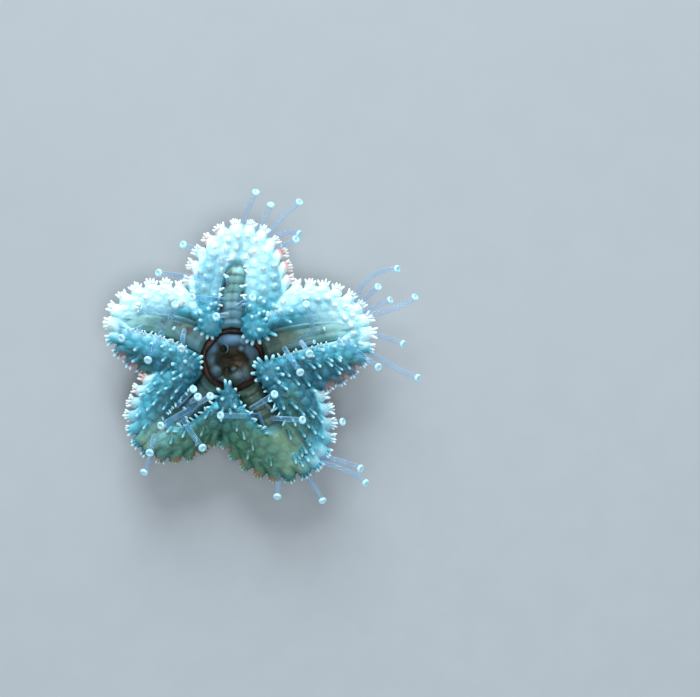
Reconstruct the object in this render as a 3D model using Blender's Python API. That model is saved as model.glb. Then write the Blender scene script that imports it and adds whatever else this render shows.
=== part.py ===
"""Asterina starfish at life size, resting on its back with its mouth side up.

Run with: blender --background --python part.py
+Z is up, +Y is roughly the way the first arm points, and the origin is on the floor under the
mouth. Arms are numbered anticlockwise seen from above. Sizes are in millimetres, angles in
degrees, and each mesh is written in metres.
"""

import math
import random

import bmesh
import bpy
import numpy as np
from mathutils import Matrix, Vector

MM = 0.001
GAP = 0.3  # space between two parts that meet
ARMS = range(5)
UP = Vector((0.0, 0.0, 1.0))

# Plan of the star. Each arm is followed by a notch. A groove bends from root to tip.
TIP_DEG = (85.0, 160.0, 224.0, 306.0, 374.0)
ROOT_DEG = (91.0, 148.0, 230.0, 300.0, 380.0)
ARM_REACH = (11.7, 11.2, 10.9, 11.7, 12.3)
NOTCH_DEG = (122.0, 189.0, 261.0, 341.5, 412.0)
NOTCH_REACH = (7.4, 7.4, 6.9, 8.1, 8.2)
NOTCH_SOFTNESS = 0.12

# Heights of the back, the edge and the mouth side above the floor.
BACK_Z = 0.35
BACK_FLAT = 0.45  # share of the reach over which the back is level
EDGE_LOW_Z = 2.65
EDGE_HIGH_Z = 3.35
EDGE_BULGE = 0.2
CROWN_Z = 4.2
PUFF = 0.25  # swelling of the skin between two grooves
RIM_DROP = 0.2  # how far the skin rounds off at a groove's rim
TIP_LIFT = 0.45  # how far the arms' tips curl up

# The groove along each arm, and the strip of plates in it.
GROOVE_WIDTH = 2.5
GROOVE_TIP_WIDTH = 1.5
GROOVE_DEPTH = 1.9
GROOVE_TIP_DEPTH = 0.35
GROOVE_FOOT = 0.12  # how far the walls lean in, as a share of half the width
STRIP_START = 3.25
STRIP_END = 0.86  # share of the arm's reach
STRIP_THICKNESS = 0.55
STRIP_PLATES = 9
STRIP_RIB = 0.12

# The disc, the hollow for the mouth, and the jaws round it.
DISC_REACH = 5.35
MOUTH_REACH = 2.9
MOUTH_FLOOR_Z = 1.6
MOUTH_TOP_Z = 2.85
MOUTH_LOBES = 7
WALL_LEAN = 0.12
JAW_SEAT_Z = 3.1
JAW_SEAT_END = 4.65
JAW_TIP = 2.25
JAW_SHOULDER = 3.05
JAW_TOP_Z = 4.3
JAW_SPINE_Z = 3.85
JAW_SPINE_LENGTH = 0.62
JAW_TOP_SPINES = ((3.15, 0.0), (3.8, -0.5), (3.9, 0.55))  # distance out, share across

# Spines. A tuft's spines have a turn in plan and a rise, and two kinds of tuft take turns.
SPINE_RADIUS = 0.26
SPINE_SHOULDER = 0.2
SPINE_LENGTH = 0.95
SPINE_SINK = 0.4
TUFTS_A_SIDE = 7
TUFT_CLEAR = 0.9  # from the last tuft's middle to the notch
TUFT_KINDS = (((-32.0, 5.0), (0.0, 38.0), (32.0, 5.0)), ((-17.0, 28.0), (17.0, -2.0)))
# Lines of spines on the mouth side: share across, spacing, lean sideways, share of full length.
SPINE_LINES = ((0.1, 1.3, -0.6, 0.8), (0.42, 1.55, 0.1, 0.85), (0.78, 1.55, 0.3, 0.85))
LINE_START = 0.75  # from the disc
LINE_CLEAR = 0.9  # from the edge

# Blunt pegs of the back: distance out, then places across as shares of the way to a notch.
PEG_RADIUS = 0.36
PEG_LENGTH = 0.4
PEG_TO_FLOOR = 0.75  # a peg whose root is lower than this stands on the floor
ARM_PEGS = ((6.4, (-0.62, -0.2, 0.2, 0.62)), (8.2, (-0.3, 0.3)), (9.9, (0.0,)))
DISC_PEGS = ((4.3, (-0.5, 0.5)), (2.2, (0.0,)))

# Tube feet. A sucker's rings: way past the stalk's end, radius, share of the full turn up.
FOOT_RADIUS = 0.26
FOOT_SIDES = 6
SUCKER_RADIUS = 0.42
SUCKER_TURN = 1.3
SUCKER_RINGS = ((-0.1, FOOT_RADIUS, 0.4), (0.2, SUCKER_RADIUS, 1.0), (0.42, 0.38, 1.0))
FOOT_OVER_Z = 6.5  # where a foot from a groove aims before it leans over the spines

# Feet past an arm's edge: arm, root x and y, end x, y and z, sideways bow.
EDGE_FEET = (
    (0, 0.9, 11.3, 2.0, 14.4, 4.3, 0.1),
    (0, 1.9, 11.0, 3.3, 13.3, 3.4, -0.1),
    (0, 3.0, 10.7, 5.7, 13.6, 4.0, 0.1),
    (0, 3.2, 9.9, 5.6, 11.1, 3.2, 0.55),
    (0, 3.2, 9.3, 5.4, 10.4, 4.2, 0.0),
    (4, 10.6, 4.9, 14.2, 7.9, 4.6, 0.45),
    (4, 11.1, 4.6, 12.6, 6.2, 4.2, 0.1),
    (4, 11.4, 4.2, 13.6, 5.1, 3.3, 0.0),
    (4, 11.6, 3.9, 15.8, 5.3, 3.7, -0.15),
    (4, 11.6, 2.3, 14.7, 1.5, 3.1, 0.1),
    (4, 11.2, 1.4, 16.0, -1.5, 4.0, -0.1),
    (3, 7.2, -5.9, 9.4, -5.5, 3.3, 0.0),
    (3, 7.1, -8.4, 11.0, -9.4, 3.9, 0.1),
    (3, 6.9, -8.9, 11.5, -10.6, 4.2, 0.2),
    (3, 5.8, -9.4, 7.8, -12.1, 3.4, 0.1),
    (3, 4.2, -9.3, 4.0, -11.7, 3.8, 0.0),
    (2, -6.6, -7.2, -7.6, -9.6, 3.6, 0.0),
)

# Feet that stand in a groove: arm, distance out, side of the groove, end x, y and z.
GROOVE_FEET = (
    (0, 8.6, 1, -3.9, 9.9, 6.1),
    (0, 6.8, 1, -6.0, 7.5, 6.3),
    (0, 5.2, 1, -3.1, 5.4, 6.0),
    (0, 4.0, 1, -1.1, 3.8, 5.9),
    (0, 4.6, -1, 1.7, 5.3, 6.0),
    (1, 8.2, 1, -9.3, 2.0, 6.0),
    (1, 5.0, -1, -4.3, 1.2, 5.6),
    (1, 6.6, 1, -7.1, 0.2, 6.0),
    (1, 6.4, -1, -4.9, 4.6, 6.0),
    (2, 4.8, 1, -1.95, -3.25, 5.9),
    (2, 5.5, 0.5, -5.9, -5.6, 5.6),
    (2, 6.0, -1, -3.0, -3.3, 5.9),
    (2, 6.8, 1, -2.6, -7.45, 6.1),
    (3, 4.6, -1, 3.6, -3.1, 6.0),
    (3, 5.4, -1, -0.7, -4.85, 6.0),
    (3, 6.2, 1, 6.0, -5.2, 6.1),
    (4, 6.2, -1, 6.7, 0.7, 6.0),
    (4, 9.2, -1, 12.6, -0.5, 6.2),
    (4, 7.6, 1, 6.6, 4.6, 6.0),
    (4, 4.6, -1, 5.9, -0.9, 6.1),
)

# Places across a half arm: 1 is the line to the notch, 0 the groove's rim, -1 its middle.
HALF_SHARES = (1.0, 0.78, 0.5, 0.22, 0.0, -GROOVE_FOOT)
COLUMNS = [(-1, share) for share in HALF_SHARES] + [(1, -1.0)]
COLUMNS += [(1, share) for share in reversed(HALF_SHARES)]
ARM_ROWS = (0.0, 0.25, 0.5, 0.72, 0.89, 1.0)

COLOURS = {
    "skin": (0.36, 0.62, 0.62, 1.0),
    "jaw": (0.42, 0.70, 0.72, 1.0),
    "groove": (0.50, 0.54, 0.40, 1.0),
    "mouth": (0.36, 0.36, 0.36, 1.0),
    "disc": (0.34, 0.58, 0.56, 1.0),
}
ROUGHNESS = 0.45


def smooth(value):
    """0 below 0, 1 above 1, and an easy curve between."""
    value = min(max(value, 0.0), 1.0)
    return value * value * (3 - 2 * value)


def notch_beside(arm, side):
    """(direction, reach) of the notch on one side of an arm: 1 is anticlockwise."""
    if side > 0:
        return NOTCH_DEG[arm], NOTCH_REACH[arm]
    turn = 360.0 if arm == 0 else 0.0
    return NOTCH_DEG[arm - 1] - turn, NOTCH_REACH[arm - 1]


def outline(arm, deg):
    """Reach of the body's edge in a direction: a cosine from the tip, softened at the notch."""
    side = 1 if deg >= TIP_DEG[arm] else -1
    notch_deg, notch_reach = notch_beside(arm, side)
    share = min(1.0, (deg - TIP_DEG[arm]) / (notch_deg - TIP_DEG[arm]))
    bend = math.hypot(math.cos(share * math.pi / 2), NOTCH_SOFTNESS) - NOTCH_SOFTNESS
    bend /= math.hypot(1.0, NOTCH_SOFTNESS) - NOTCH_SOFTNESS
    return notch_reach + (ARM_REACH[arm] - notch_reach) * bend


def axis_deg(arm, rho):
    """Direction of the groove's middle line at a distance out."""
    along = smooth((rho - MOUTH_REACH) / (ARM_REACH[arm] - MOUTH_REACH))
    return ROOT_DEG[arm] + (TIP_DEG[arm] - ROOT_DEG[arm]) * along


def groove_width(arm, rho):
    along = smooth((rho - 4.0) / (ARM_REACH[arm] - 4.0))
    return GROOVE_WIDTH + (GROOVE_TIP_WIDTH - GROOVE_WIDTH) * along


def groove_depth(arm, rho):
    along = smooth((rho / ARM_REACH[arm] - 0.55) / 0.42)
    return GROOVE_DEPTH + (GROOVE_TIP_DEPTH - GROOVE_DEPTH) * along


def direction(arm, side, across, rho, gap=0.0):
    """Direction of the place a share across a half arm, half a gap short of its notch line."""
    axis = axis_deg(arm, rho)
    near = max(rho, MOUTH_REACH)
    rim = axis + side * math.degrees(math.asin(groove_width(arm, near) / 2 / near))
    if across < 0:
        return axis + (rim - axis) * (1 + across)
    notch_line = notch_beside(arm, side)[0] - side * math.degrees(gap / 2 / max(rho, 1.0))
    return rim + across * (notch_line - rim)


def tip_lift(rho):
    return TIP_LIFT * (rho / 12.0) ** 3


def back_height(share, rho):
    """Height of the back, where share is the distance out over the outline's reach."""
    rise = max(0.0, (share - BACK_FLAT) / (1 - BACK_FLAT)) ** 2
    return BACK_Z + (EDGE_LOW_Z - BACK_Z) * rise + tip_lift(rho)


def top_height(arm, across, share, rho):
    """Height of the mouth side: a flat dome with swellings, rounded rims and a groove."""
    dome = (1 - min(share, 1.0) ** 3) ** 0.6
    height = EDGE_HIGH_Z + (CROWN_Z - EDGE_HIGH_Z) * dome + tip_lift(rho)
    if across < 0:
        return height - groove_depth(arm, rho)
    height += PUFF * math.sin(math.pi * across) * (1 - share**4)
    return height - RIM_DROP * (1 - across) ** 6


def plan_point(rho, deg):
    return rho * math.cos(math.radians(deg)), rho * math.sin(math.radians(deg))


def top_point(arm, side, across, rho, gap=GAP):
    deg = direction(arm, side, across, rho, gap)
    x, y = plan_point(rho, deg)
    return Vector((x, y, top_height(arm, across, rho / outline(arm, deg), rho)))


def back_point(arm, deg, rho):
    x, y = plan_point(rho, deg)
    return Vector((x, y, back_height(rho / outline(arm, deg), rho)))


def top_normal(arm, side, across, rho):
    here = top_point(arm, side, across, rho)
    out = top_point(arm, side, across, rho + 0.15) - here
    aside = top_point(arm, side, across + 0.05, rho) - here
    normal = out.cross(aside).normalized()
    return normal if normal.z > 0 else -normal


def edge_frame(arm, deg):
    """(point halfway up the body's edge, outward direction in plan) in a direction."""
    before, here, after = (
        Vector((*plan_point(outline(arm, d), d), 0.0)) for d in (deg - 0.5, deg, deg + 0.5)
    )
    out = (after - before).cross(UP).normalized()
    here.z = (EDGE_LOW_Z + EDGE_HIGH_Z) / 2 + tip_lift(here.length)
    return here, out


def edge_place(arm, side, across, along, inner):
    """(distance out, direction) a share along from the inner edge to the outline."""
    rho = inner
    for _ in range(12):
        deg = direction(arm, side, across, rho, GAP)
        rho = inner + along * (outline(arm, deg) - inner)
    return rho, deg


def leant(direct, towards, over):
    """A direction leant over by an angle towards another."""
    flat = (towards - direct * towards.dot(direct)).normalized()
    return direct * math.cos(math.radians(over)) + flat * math.sin(math.radians(over))


def mesh_from(points, faces):
    """bmesh of points in millimetres, with its faces turned outwards."""
    made = bmesh.new()
    corners = [made.verts.new(Vector(point) * MM) for point in points]
    for face in faces:
        made.faces.new([corners[i] for i in face])
    bmesh.ops.recalc_face_normals(made, faces=made.faces)
    return made


def add_object(name, made, collection):
    mesh = bpy.data.meshes.new(name)
    bmesh.ops.triangulate(made, faces=made.faces)
    made.to_mesh(mesh)
    made.free()
    obj = bpy.data.objects.new(name, mesh)
    collection.objects.link(obj)
    return obj


def grid_faces(rows, columns, start=0, closed=False):
    """Quads of a grid whose points run along each row in turn."""
    last = columns if closed else columns - 1
    faces = []
    for r in range(rows - 1):
        for c in range(last):
            here, beside = start + r * columns + c, start + r * columns + (c + 1) % columns
            faces.append((here, beside, beside + columns, here + columns))
    return faces


def slab(top, bottom, edge=None):
    """Closed body between two grids of points. edge is a row between their last rows."""
    rows, columns = len(top), len(top[0])
    under = rows * columns
    last = under - columns
    points = [p for row in top + bottom for p in row] + (edge or [])
    faces = grid_faces(rows, columns) + grid_faces(rows, columns, under)
    faces += [(c, c + 1, under + c + 1, under + c) for c in range(columns - 1)]
    for c in (0, columns - 1):
        for r in range(rows - 1):
            a, b = r * columns + c, (r + 1) * columns + c
            between = [2 * under + c] if edge and b >= last else []
            faces.append([a, b, *between, under + b, under + a])
    for c in range(last, under - 1):
        a, b = c, c + 1
        if edge:
            e, f = c - last + 2 * under, c - last + 2 * under + 1
            faces += [(a, b, f, e), (under + a, under + b, f, e)]
        else:
            faces.append((a, b, under + b, under + a))
    return mesh_from(points, faces)


def turned(profile_rows, sides):
    """Closed body of rings between its first and last points, which are its poles."""
    first, *rings, last = profile_rows
    points = [first] + [p for ring in rings for p in ring] + [last]
    faces = grid_faces(len(rings), sides, 1, closed=True)
    end = 1 + (len(rings) - 1) * sides
    faces += [(0, 1 + i, 1 + (i + 1) % sides) for i in range(sides)]
    faces += [(end + i, end + (i + 1) % sides, len(points) - 1) for i in range(sides)]
    return mesh_from(points, faces)


def ring_at(centre, ahead, radius, sides, roll=0.0):
    """Points of a circle round a centre, square to a direction."""
    turn = ahead.to_track_quat("Z", "Y")
    angles = [roll + 2 * math.pi * i / sides for i in range(sides)]
    circle = [Vector((radius * math.cos(a), radius * math.sin(a), 0.0)) for a in angles]
    return [centre + turn @ point for point in circle]


def spine(root, ahead, length, roll):
    """A four-sided spine with its root sunk in the surface and a pointed end."""
    foot = root - ahead * SPINE_SINK
    low = ring_at(foot, ahead, SPINE_RADIUS, 4, roll)
    high = ring_at(root + ahead * length * 0.62, ahead, SPINE_SHOULDER, 4, roll)
    return turned([foot, low, high, root + ahead * length], 4)


def peg(root, ahead, length, roll):
    """A short five-sided spine of the back, with a flat end."""
    foot, end = root - ahead * SPINE_SINK, root + ahead * length
    low = ring_at(foot, ahead, PEG_RADIUS, 5, roll)
    high = ring_at(end, ahead, PEG_RADIUS * 0.8, 5, roll)
    return turned([foot, low, high, end], 5)


def bezier(controls, count):
    """Points along the smooth curve of four controls."""
    found = []
    for i in range(count):
        t = i / (count - 1)
        weights = ((1 - t) ** 3, 3 * t * (1 - t) ** 2, 3 * t * t * (1 - t), t**3)
        found.append(sum((c * w for c, w in zip(controls, weights)), Vector()))
    return found


def tube_foot(path):
    """A tube foot along a path of points. Its sucker turns up from the end of the path."""
    ways = [(b - a).normalized() for a, b in zip(path[:-1], path[1:])]
    stations = [(path[0], ways[0], FOOT_RADIUS)]
    for point, before, after in zip(path[1:-1], ways[:-1], ways[1:]):
        stations.append((point, (before + after).normalized(), FOOT_RADIUS))
    for advance, radius, share in SUCKER_RINGS:
        facing = (ways[-1] + UP * SUCKER_TURN * share).normalized()
        stations.append((path[-1] + facing * advance, facing, radius))
    rings = []
    across = ways[0].orthogonal()
    for centre, ahead, radius in stations:
        across = (across - ahead * across.dot(ahead)).normalized()
        other = ahead.cross(across)
        angles = [2 * math.pi * i / FOOT_SIDES for i in range(FOOT_SIDES)]
        rings.append(
            [centre + (across * math.cos(a) + other * math.sin(a)) * radius for a in angles]
        )
    hollow = centre - ahead * 0.06
    return turned([path[0], *rings, hollow], FOOT_SIDES)


def edge_foot(root_x, root_y, end_x, end_y, end_z, bow):
    """A foot from the arm's edge, bowed to one side on its way out."""
    root = Vector((root_x, root_y, 0.0))
    root.z = (EDGE_LOW_Z + EDGE_HIGH_Z) / 2 + tip_lift(root.length) + 0.15
    end = Vector((end_x, end_y, end_z))
    run = end - root
    aside = UP.cross(run) * bow * 0.5
    controls = (root, root + run * 0.35 + aside, root + run * 0.72 + aside, end)
    return tube_foot(bezier(controls, 5 if abs(bow) > 0.3 else 4))


def groove_foot(arm, rho, side, end_x, end_y, end_z):
    """A foot that rises from the groove's strip and leans over the spines."""
    x, y = plan_point(rho, axis_deg(arm, rho) + side * math.degrees(0.3 / rho))
    root = Vector((x, y, groove_floor(arm, rho) + GAP + STRIP_THICKNESS - 0.25))
    end = Vector((end_x, end_y, end_z))
    bend = end.lerp(Vector((x, y, end_z)), 0.45)
    return tube_foot(bezier((root, Vector((x, y, FOOT_OVER_Z)), bend, end), 5))


def groove_floor(arm, rho):
    return top_height(arm, -1.0, rho / outline(arm, axis_deg(arm, rho)), rho)


def edge_tufts(arm, rng):
    """Fans of spines round the arm's edge, spaced evenly between its two notches."""
    made = []
    for side in (-1, 1):
        notch_deg, notch_reach = notch_beside(arm, side)
        room = notch_deg - side * math.degrees(TUFT_CLEAR / notch_reach) - TIP_DEG[arm]
        for i in range(TUFTS_A_SIDE):
            first = 1.0 if i == 0 else 0.5
            share = (i + 0.5) / (TUFTS_A_SIDE - 1 + first)
            point, out = edge_frame(arm, TIP_DEG[arm] + room * share)
            for turn, rise in TUFT_KINDS[i % 2]:
                if i == TUFTS_A_SIDE - 1 and turn * side > 0:
                    turn, rise = 0.0, -25.0
                turn += rng.uniform(-6, 6)
                rise += rng.uniform(-8, 8)
                ahead = leant(Matrix.Rotation(math.radians(turn), 3, "Z") @ out, UP, rise)
                root = point + UP * 0.35 * math.sin(math.radians(rise))
                length = SPINE_LENGTH * rng.uniform(0.85, 1.1)
                made.append(spine(root, ahead, length, rng.uniform(0, 1.5)))
    return made


def line_spines(arm, rng):
    """Spines of the mouth side, in lines from the disc to the arm's edge."""
    made = []
    for side in (-1, 1):
        for across, step, sideways, scale in SPINE_LINES:
            rho = DISC_REACH + LINE_START + rng.uniform(0.0, 0.4) * step
            while rho < outline(arm, direction(arm, side, across, rho, GAP)) - LINE_CLEAR:
                root = top_point(arm, side, across, rho)
                out = Vector((root.x, root.y, 0.0)).normalized()
                aside = UP.cross(out) * side * sideways
                over = 28 + rng.uniform(-8, 8)
                ahead = leant(top_normal(arm, side, across, rho), out + aside, over)
                length = SPINE_LENGTH * scale * rng.uniform(0.85, 1.1)
                made.append(spine(root, ahead, length, rng.uniform(0, 1.5)))
                rho += step * rng.uniform(0.9, 1.1)
    return made


def back_pegs(arm, rng, places):
    """Blunt spines of the back. Those near the middle stand on the floor."""
    made = []
    for rho, shares in places:
        for share in shares:
            notch_deg = notch_beside(arm, 1 if share >= 0 else -1)[0]
            deg = TIP_DEG[arm] + abs(share) * (notch_deg - TIP_DEG[arm])
            root = back_point(arm, deg, rho)
            slope = (back_point(arm, deg, rho + 0.2) - root).normalized()
            ahead = slope.cross(UP.cross(slope).normalized())
            length = PEG_LENGTH * rng.uniform(0.85, 1.1)
            if root.z < PEG_TO_FLOOR:
                ahead, length = -UP, root.z
            made.append(peg(root, ahead, length, rng.uniform(0, 1.2)))
    return made


def fuse(body, pieces):
    """Joins pieces to a body, keeps its largest closed surface, and removes the pieces."""
    gathered = bpy.data.collections.new(body.name + "_pieces")
    bpy.context.scene.collection.children.link(gathered)
    for i, made in enumerate(pieces):
        add_object(f"{body.name}_piece_{i}", made, gathered)
    union = body.modifiers.new("union", "BOOLEAN")
    union.operation = "UNION"
    union.operand_type = "COLLECTION"
    union.collection = gathered
    union.solver = "MANIFOLD"
    graph = bpy.context.evaluated_depsgraph_get()
    mesh = bpy.data.meshes.new_from_object(body.evaluated_get(graph))
    body.modifiers.remove(union)
    body.data = mesh
    for obj in list(gathered.objects):
        bpy.data.objects.remove(obj)
    bpy.data.collections.remove(gathered)
    keep_largest(mesh)


def keep_largest(mesh):
    """Deletes every closed surface of a mesh but the one with most volume."""
    made = bmesh.new()
    made.from_mesh(mesh)
    left = set(made.faces)
    shells = []
    while left:
        shell = [left.pop()]
        for face in shell:
            beside = {other for edge in face.edges for other in edge.link_faces} & left
            left -= beside
            shell.extend(beside)
        shells.append(shell)
    shells.sort(key=shell_volume)
    scraps = [face for shell in shells[:-1] for face in shell]
    bmesh.ops.delete(made, geom=scraps, context="FACES")
    made.to_mesh(mesh)
    made.free()


def shell_volume(faces):
    """Sum of the tetrahedra from the origin to each triangle."""
    corners = np.array([[v.co[:] for v in face.verts[:3]] for face in faces])
    across = np.cross(corners[:, 1], corners[:, 2])
    return float((corners[:, 0] * across).sum() / 6)


def material(name):
    made = bpy.data.materials.new(name)
    made.use_nodes = True
    shader = made.node_tree.nodes["Principled BSDF"]
    shader.inputs["Base Color"].default_value = COLOURS[name]
    shader.inputs["Roughness"].default_value = ROUGHNESS
    return made


def node(name, made, pieces, look):
    """One named solid: its body, the pieces fused to it, and its material."""
    body = add_object(name, made, bpy.context.scene.collection)
    if pieces:
        fuse(body, pieces)
    body.data.materials.clear()
    body.data.materials.append(material(look))
    body.data.materials[0].name = name
    body.data.shade_smooth()
    body.data.set_sharp_from_angle(angle=math.radians(50))


def build_arm(arm):
    """An arm from the disc to its tip, with its groove, spines, pegs and outer feet."""
    rng = random.Random(100 + arm)
    inner = DISC_REACH + GAP
    top, bottom, edge = [], [], []
    for along in ARM_ROWS:
        places = [(side, a, *edge_place(arm, side, a, along, inner)) for side, a in COLUMNS]
        top.append([top_point(arm, side, a, rho) for side, a, rho, _ in places])
        bottom.append([back_point(arm, deg, rho) for _, _, rho, deg in places])
    for side, across, rho, deg in places:
        point, out = edge_frame(arm, deg)
        x, y = plan_point(rho, deg)
        if across == 1.0:
            out = Vector((x, y, 0.0)).normalized()
        edge.append(Vector((x, y, point.z)) + out * EDGE_BULGE)
    pieces = edge_tufts(arm, rng) + line_spines(arm, rng) + back_pegs(arm, rng, ARM_PEGS)
    pieces += [edge_foot(*values) for number, *values in EDGE_FEET if number == arm]
    node(f"arm_{arm + 1}", slab(top, bottom, edge), pieces, "skin")


def build_groove(arm):
    """The ribbed strip of plates along a groove, with its tube feet."""
    top, bottom = [], []
    steps = 2 * STRIP_PLATES
    end = ARM_REACH[arm] * STRIP_END
    for i in range(steps + 1):
        rho = STRIP_START + (end - STRIP_START) * i / steps
        half_width = groove_width(arm, rho) / 2 * (1 - GROOVE_FOOT) - GAP
        floor = groove_floor(arm, rho) + GAP
        rib = STRIP_RIB if i % 2 else -STRIP_RIB / 2
        line = []
        for across in (-1, 0, 1):
            aside = math.degrees(math.asin(across * half_width / rho))
            line.append(Vector((*plan_point(rho, axis_deg(arm, rho) + aside), floor)))
        bottom.append(line)
        top.append(
            [p + UP * (STRIP_THICKNESS + rib + 0.12 * abs(a)) for p, a in zip(line, (-1, 0, 1))]
        )
    pieces = [groove_foot(*values) for values in GROOVE_FEET if values[0] == arm]
    node(f"groove_{arm + 1}", slab(top, bottom), pieces, "groove")


def build_disc():
    """The middle of the body, with a hollow for the mouth and a seat for each jaw."""
    around = [(arm, side, across) for arm in ARMS for side, across in COLUMNS[1:]]
    # Distance out, and the height between the grooves where it isn't the skin's own.
    top = (
        (DISC_REACH, None),
        (JAW_SEAT_END + WALL_LEAN, None),
        (JAW_SEAT_END, JAW_SEAT_Z),
        (MOUTH_REACH, JAW_SEAT_Z),
    )
    hollow = (MOUTH_REACH - WALL_LEAN, 0.9)
    rings = []
    for rho in (2.0, 4.0, DISC_REACH):
        places = [(arm, direction(arm, side, across, DISC_REACH)) for arm, side, across in around]
        rings.append([back_point(arm, deg, rho) for arm, deg in places])
    for rho, seat in top:
        ring = [top_point(arm, side, across, rho, 0.0) for arm, side, across in around]
        for point, (_, _, across) in zip(ring, around):
            if seat and across >= 0:
                point.z = seat
        rings.append(ring)
    for rho in hollow:
        ring = [top_point(arm, side, across, rho, 0.0) for arm, side, across in around]
        rings.append([Vector((p.x, p.y, MOUTH_FLOOR_Z)) for p in ring])
    rng = random.Random(7)
    pieces = [peg(UP * BACK_Z, -UP, BACK_Z, 0.3)]
    for arm in ARMS:
        pieces += back_pegs(arm, rng, DISC_PEGS)
    body = turned([UP * BACK_Z, *rings, UP * MOUTH_FLOOR_Z], len(around))
    node("disc", body, pieces, "disc")


def build_jaw(index):
    """The plate between two grooves that overhangs the mouth, with its fan of spines."""
    after = (index + 1) % 5
    turn = 360.0 if after == 0 else 0.0

    def place(rho, across):
        low = direction(index, 1, 0.0, rho)
        high = direction(after, -1, 0.0, rho) + turn
        return plan_point(rho, (low + high) / 2 + across * (high - low) / 2)

    top, bottom = [], []
    for out in (0.0, 0.22, 0.6, 1.0):
        line = []
        for across in (-1.0, -0.6, 0.0, 0.6, 1.0):
            start = JAW_TIP + (JAW_SHOULDER - JAW_TIP) * (1 - math.sqrt(1 - across**2))
            rho = start + out * (JAW_SEAT_END - GAP - start)
            drop = 0.2 * abs(across) ** 3 + 0.15 * (1 - out) ** 4
            line.append(Vector((*place(rho, across), JAW_TOP_Z - drop)))
        top.append(line)
        bottom.append([Vector((p.x, p.y, JAW_SEAT_Z + GAP)) for p in line])
    rng = random.Random(40 + index)
    heart = Vector((top[3][2].x, top[3][2].y, JAW_SPINE_Z))
    pieces = []
    for point in top[0]:
        root = Vector((point.x, point.y, JAW_SPINE_Z))
        ahead = (root - heart + UP * 0.5).normalized()
        length = JAW_SPINE_LENGTH * rng.uniform(0.9, 1.1)
        pieces.append(spine(root, ahead, length, rng.uniform(0, 1.5)))
    for rho, across in JAW_TOP_SPINES:
        root = Vector((*place(rho, across), JAW_TOP_Z - 0.05))
        ahead = Vector((-root.x, -root.y, 5.0)).normalized()
        pieces.append(spine(root, ahead, JAW_SPINE_LENGTH, rng.uniform(0, 1.5)))
    node(f"jaw_{index + 1}", slab(top, bottom), pieces, "jaw")


def build_mouth():
    """The soft lobed skin that fills the hollow of the disc round the mouth."""
    reach = MOUTH_REACH - WALL_LEAN - GAP
    low = MOUTH_FLOOR_Z + GAP
    # Distance out, height, and how strongly the lobes show there.
    profile = (
        (reach - 0.25, low, 0.0),
        (reach, low + 0.35, 0.3),
        (reach - 0.2, MOUTH_TOP_Z - 0.15, 0.6),
        (reach - 0.75, MOUTH_TOP_Z, 1.0),
        (1.15, MOUTH_TOP_Z - 0.25, 0.7),
        (0.65, MOUTH_TOP_Z - 0.2, 0.2),
        (0.35, low + 0.35, 0.0),
    )
    sides = 4 * MOUTH_LOBES
    rings = []
    for rho, height, strength in profile:
        ring = []
        for i in range(sides):
            wave = math.cos(2 * math.pi * i * MOUTH_LOBES / sides)
            out = rho * (1 - 0.05 * strength * (1 - wave))
            x, y = plan_point(out, 360.0 * i / sides)
            ring.append(Vector((x, y, height + 0.14 * strength * wave)))
        rings.append(ring)
    body = turned([UP * low, *rings, UP * (low + 0.3)], sides)
    node("mouth", body, [], "mouth")


def main():
    for obj in list(bpy.data.objects):
        bpy.data.objects.remove(obj)
    build_disc()
    build_mouth()
    for arm in ARMS:
        build_arm(arm)
        build_groove(arm)
        build_jaw(arm)


main()
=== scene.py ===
"""Looks of a life-size cushion starfish that rests on its back, mouth side up.

Laid out as a Blender add-on and run as a script. Every surface is worked out in millimetres as
arrays, in the frame's own axes: +Z up, the first arm along +Y, the floor at zero. Arms and half
arms are numbered anticlockwise seen from above.
"""

import functools
import math

import bpy
import numpy as np
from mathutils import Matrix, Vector


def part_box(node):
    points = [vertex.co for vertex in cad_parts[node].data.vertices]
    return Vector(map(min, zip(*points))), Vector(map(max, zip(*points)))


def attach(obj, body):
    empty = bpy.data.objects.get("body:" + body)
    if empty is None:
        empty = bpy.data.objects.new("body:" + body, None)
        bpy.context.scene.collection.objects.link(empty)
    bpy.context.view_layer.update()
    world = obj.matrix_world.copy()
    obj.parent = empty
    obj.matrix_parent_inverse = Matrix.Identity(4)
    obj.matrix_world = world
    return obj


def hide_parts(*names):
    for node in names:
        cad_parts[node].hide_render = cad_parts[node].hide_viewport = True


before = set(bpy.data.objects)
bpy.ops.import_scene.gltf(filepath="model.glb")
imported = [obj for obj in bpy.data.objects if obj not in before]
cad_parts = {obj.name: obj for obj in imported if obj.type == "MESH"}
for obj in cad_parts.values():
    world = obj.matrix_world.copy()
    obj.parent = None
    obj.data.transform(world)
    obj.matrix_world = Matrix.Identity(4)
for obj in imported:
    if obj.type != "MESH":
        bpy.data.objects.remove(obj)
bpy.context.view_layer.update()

bl_info = {
    "name": "Cushion starfish",
    "version": (1, 0, 0),
    "blender": (4, 5, 0),
    "location": "3D View > Sidebar > Starfish",
    "description": "Skin, spinelets, tube feet, jaws and mouth of a small cushion starfish",
    "category": "Object",
}

MM = 0.001
FLOOR_HALF = 1.5  # metres
FOCUS_Z = 4.0  # height over the floor at which the picture's width is set
SOFTBOXES = (("key", 0.26, (-0.04, 0.42, 0.22)), ("fill", 0.3, (0.05, -0.1, 0.45)))  # metres
ARMS = range(5)
UP = np.array((0.0, 0.0, 1.0))

# Plan of the star, as in the frame. Each arm is followed by a notch.
TIP_DEG = np.array((85.0, 160.0, 224.0, 306.0, 374.0))
ROOT_DEG = np.array((91.0, 148.0, 230.0, 300.0, 380.0))
ARM_REACH = np.array((11.7, 11.2, 10.9, 11.7, 12.3))
NOTCH_DEG = np.array((122.0, 189.0, 261.0, 341.5, 412.0))
NOTCH_REACH = np.array((7.4, 7.4, 6.9, 8.1, 8.2))
NOTCH_SOFTNESS = 0.12

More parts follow.
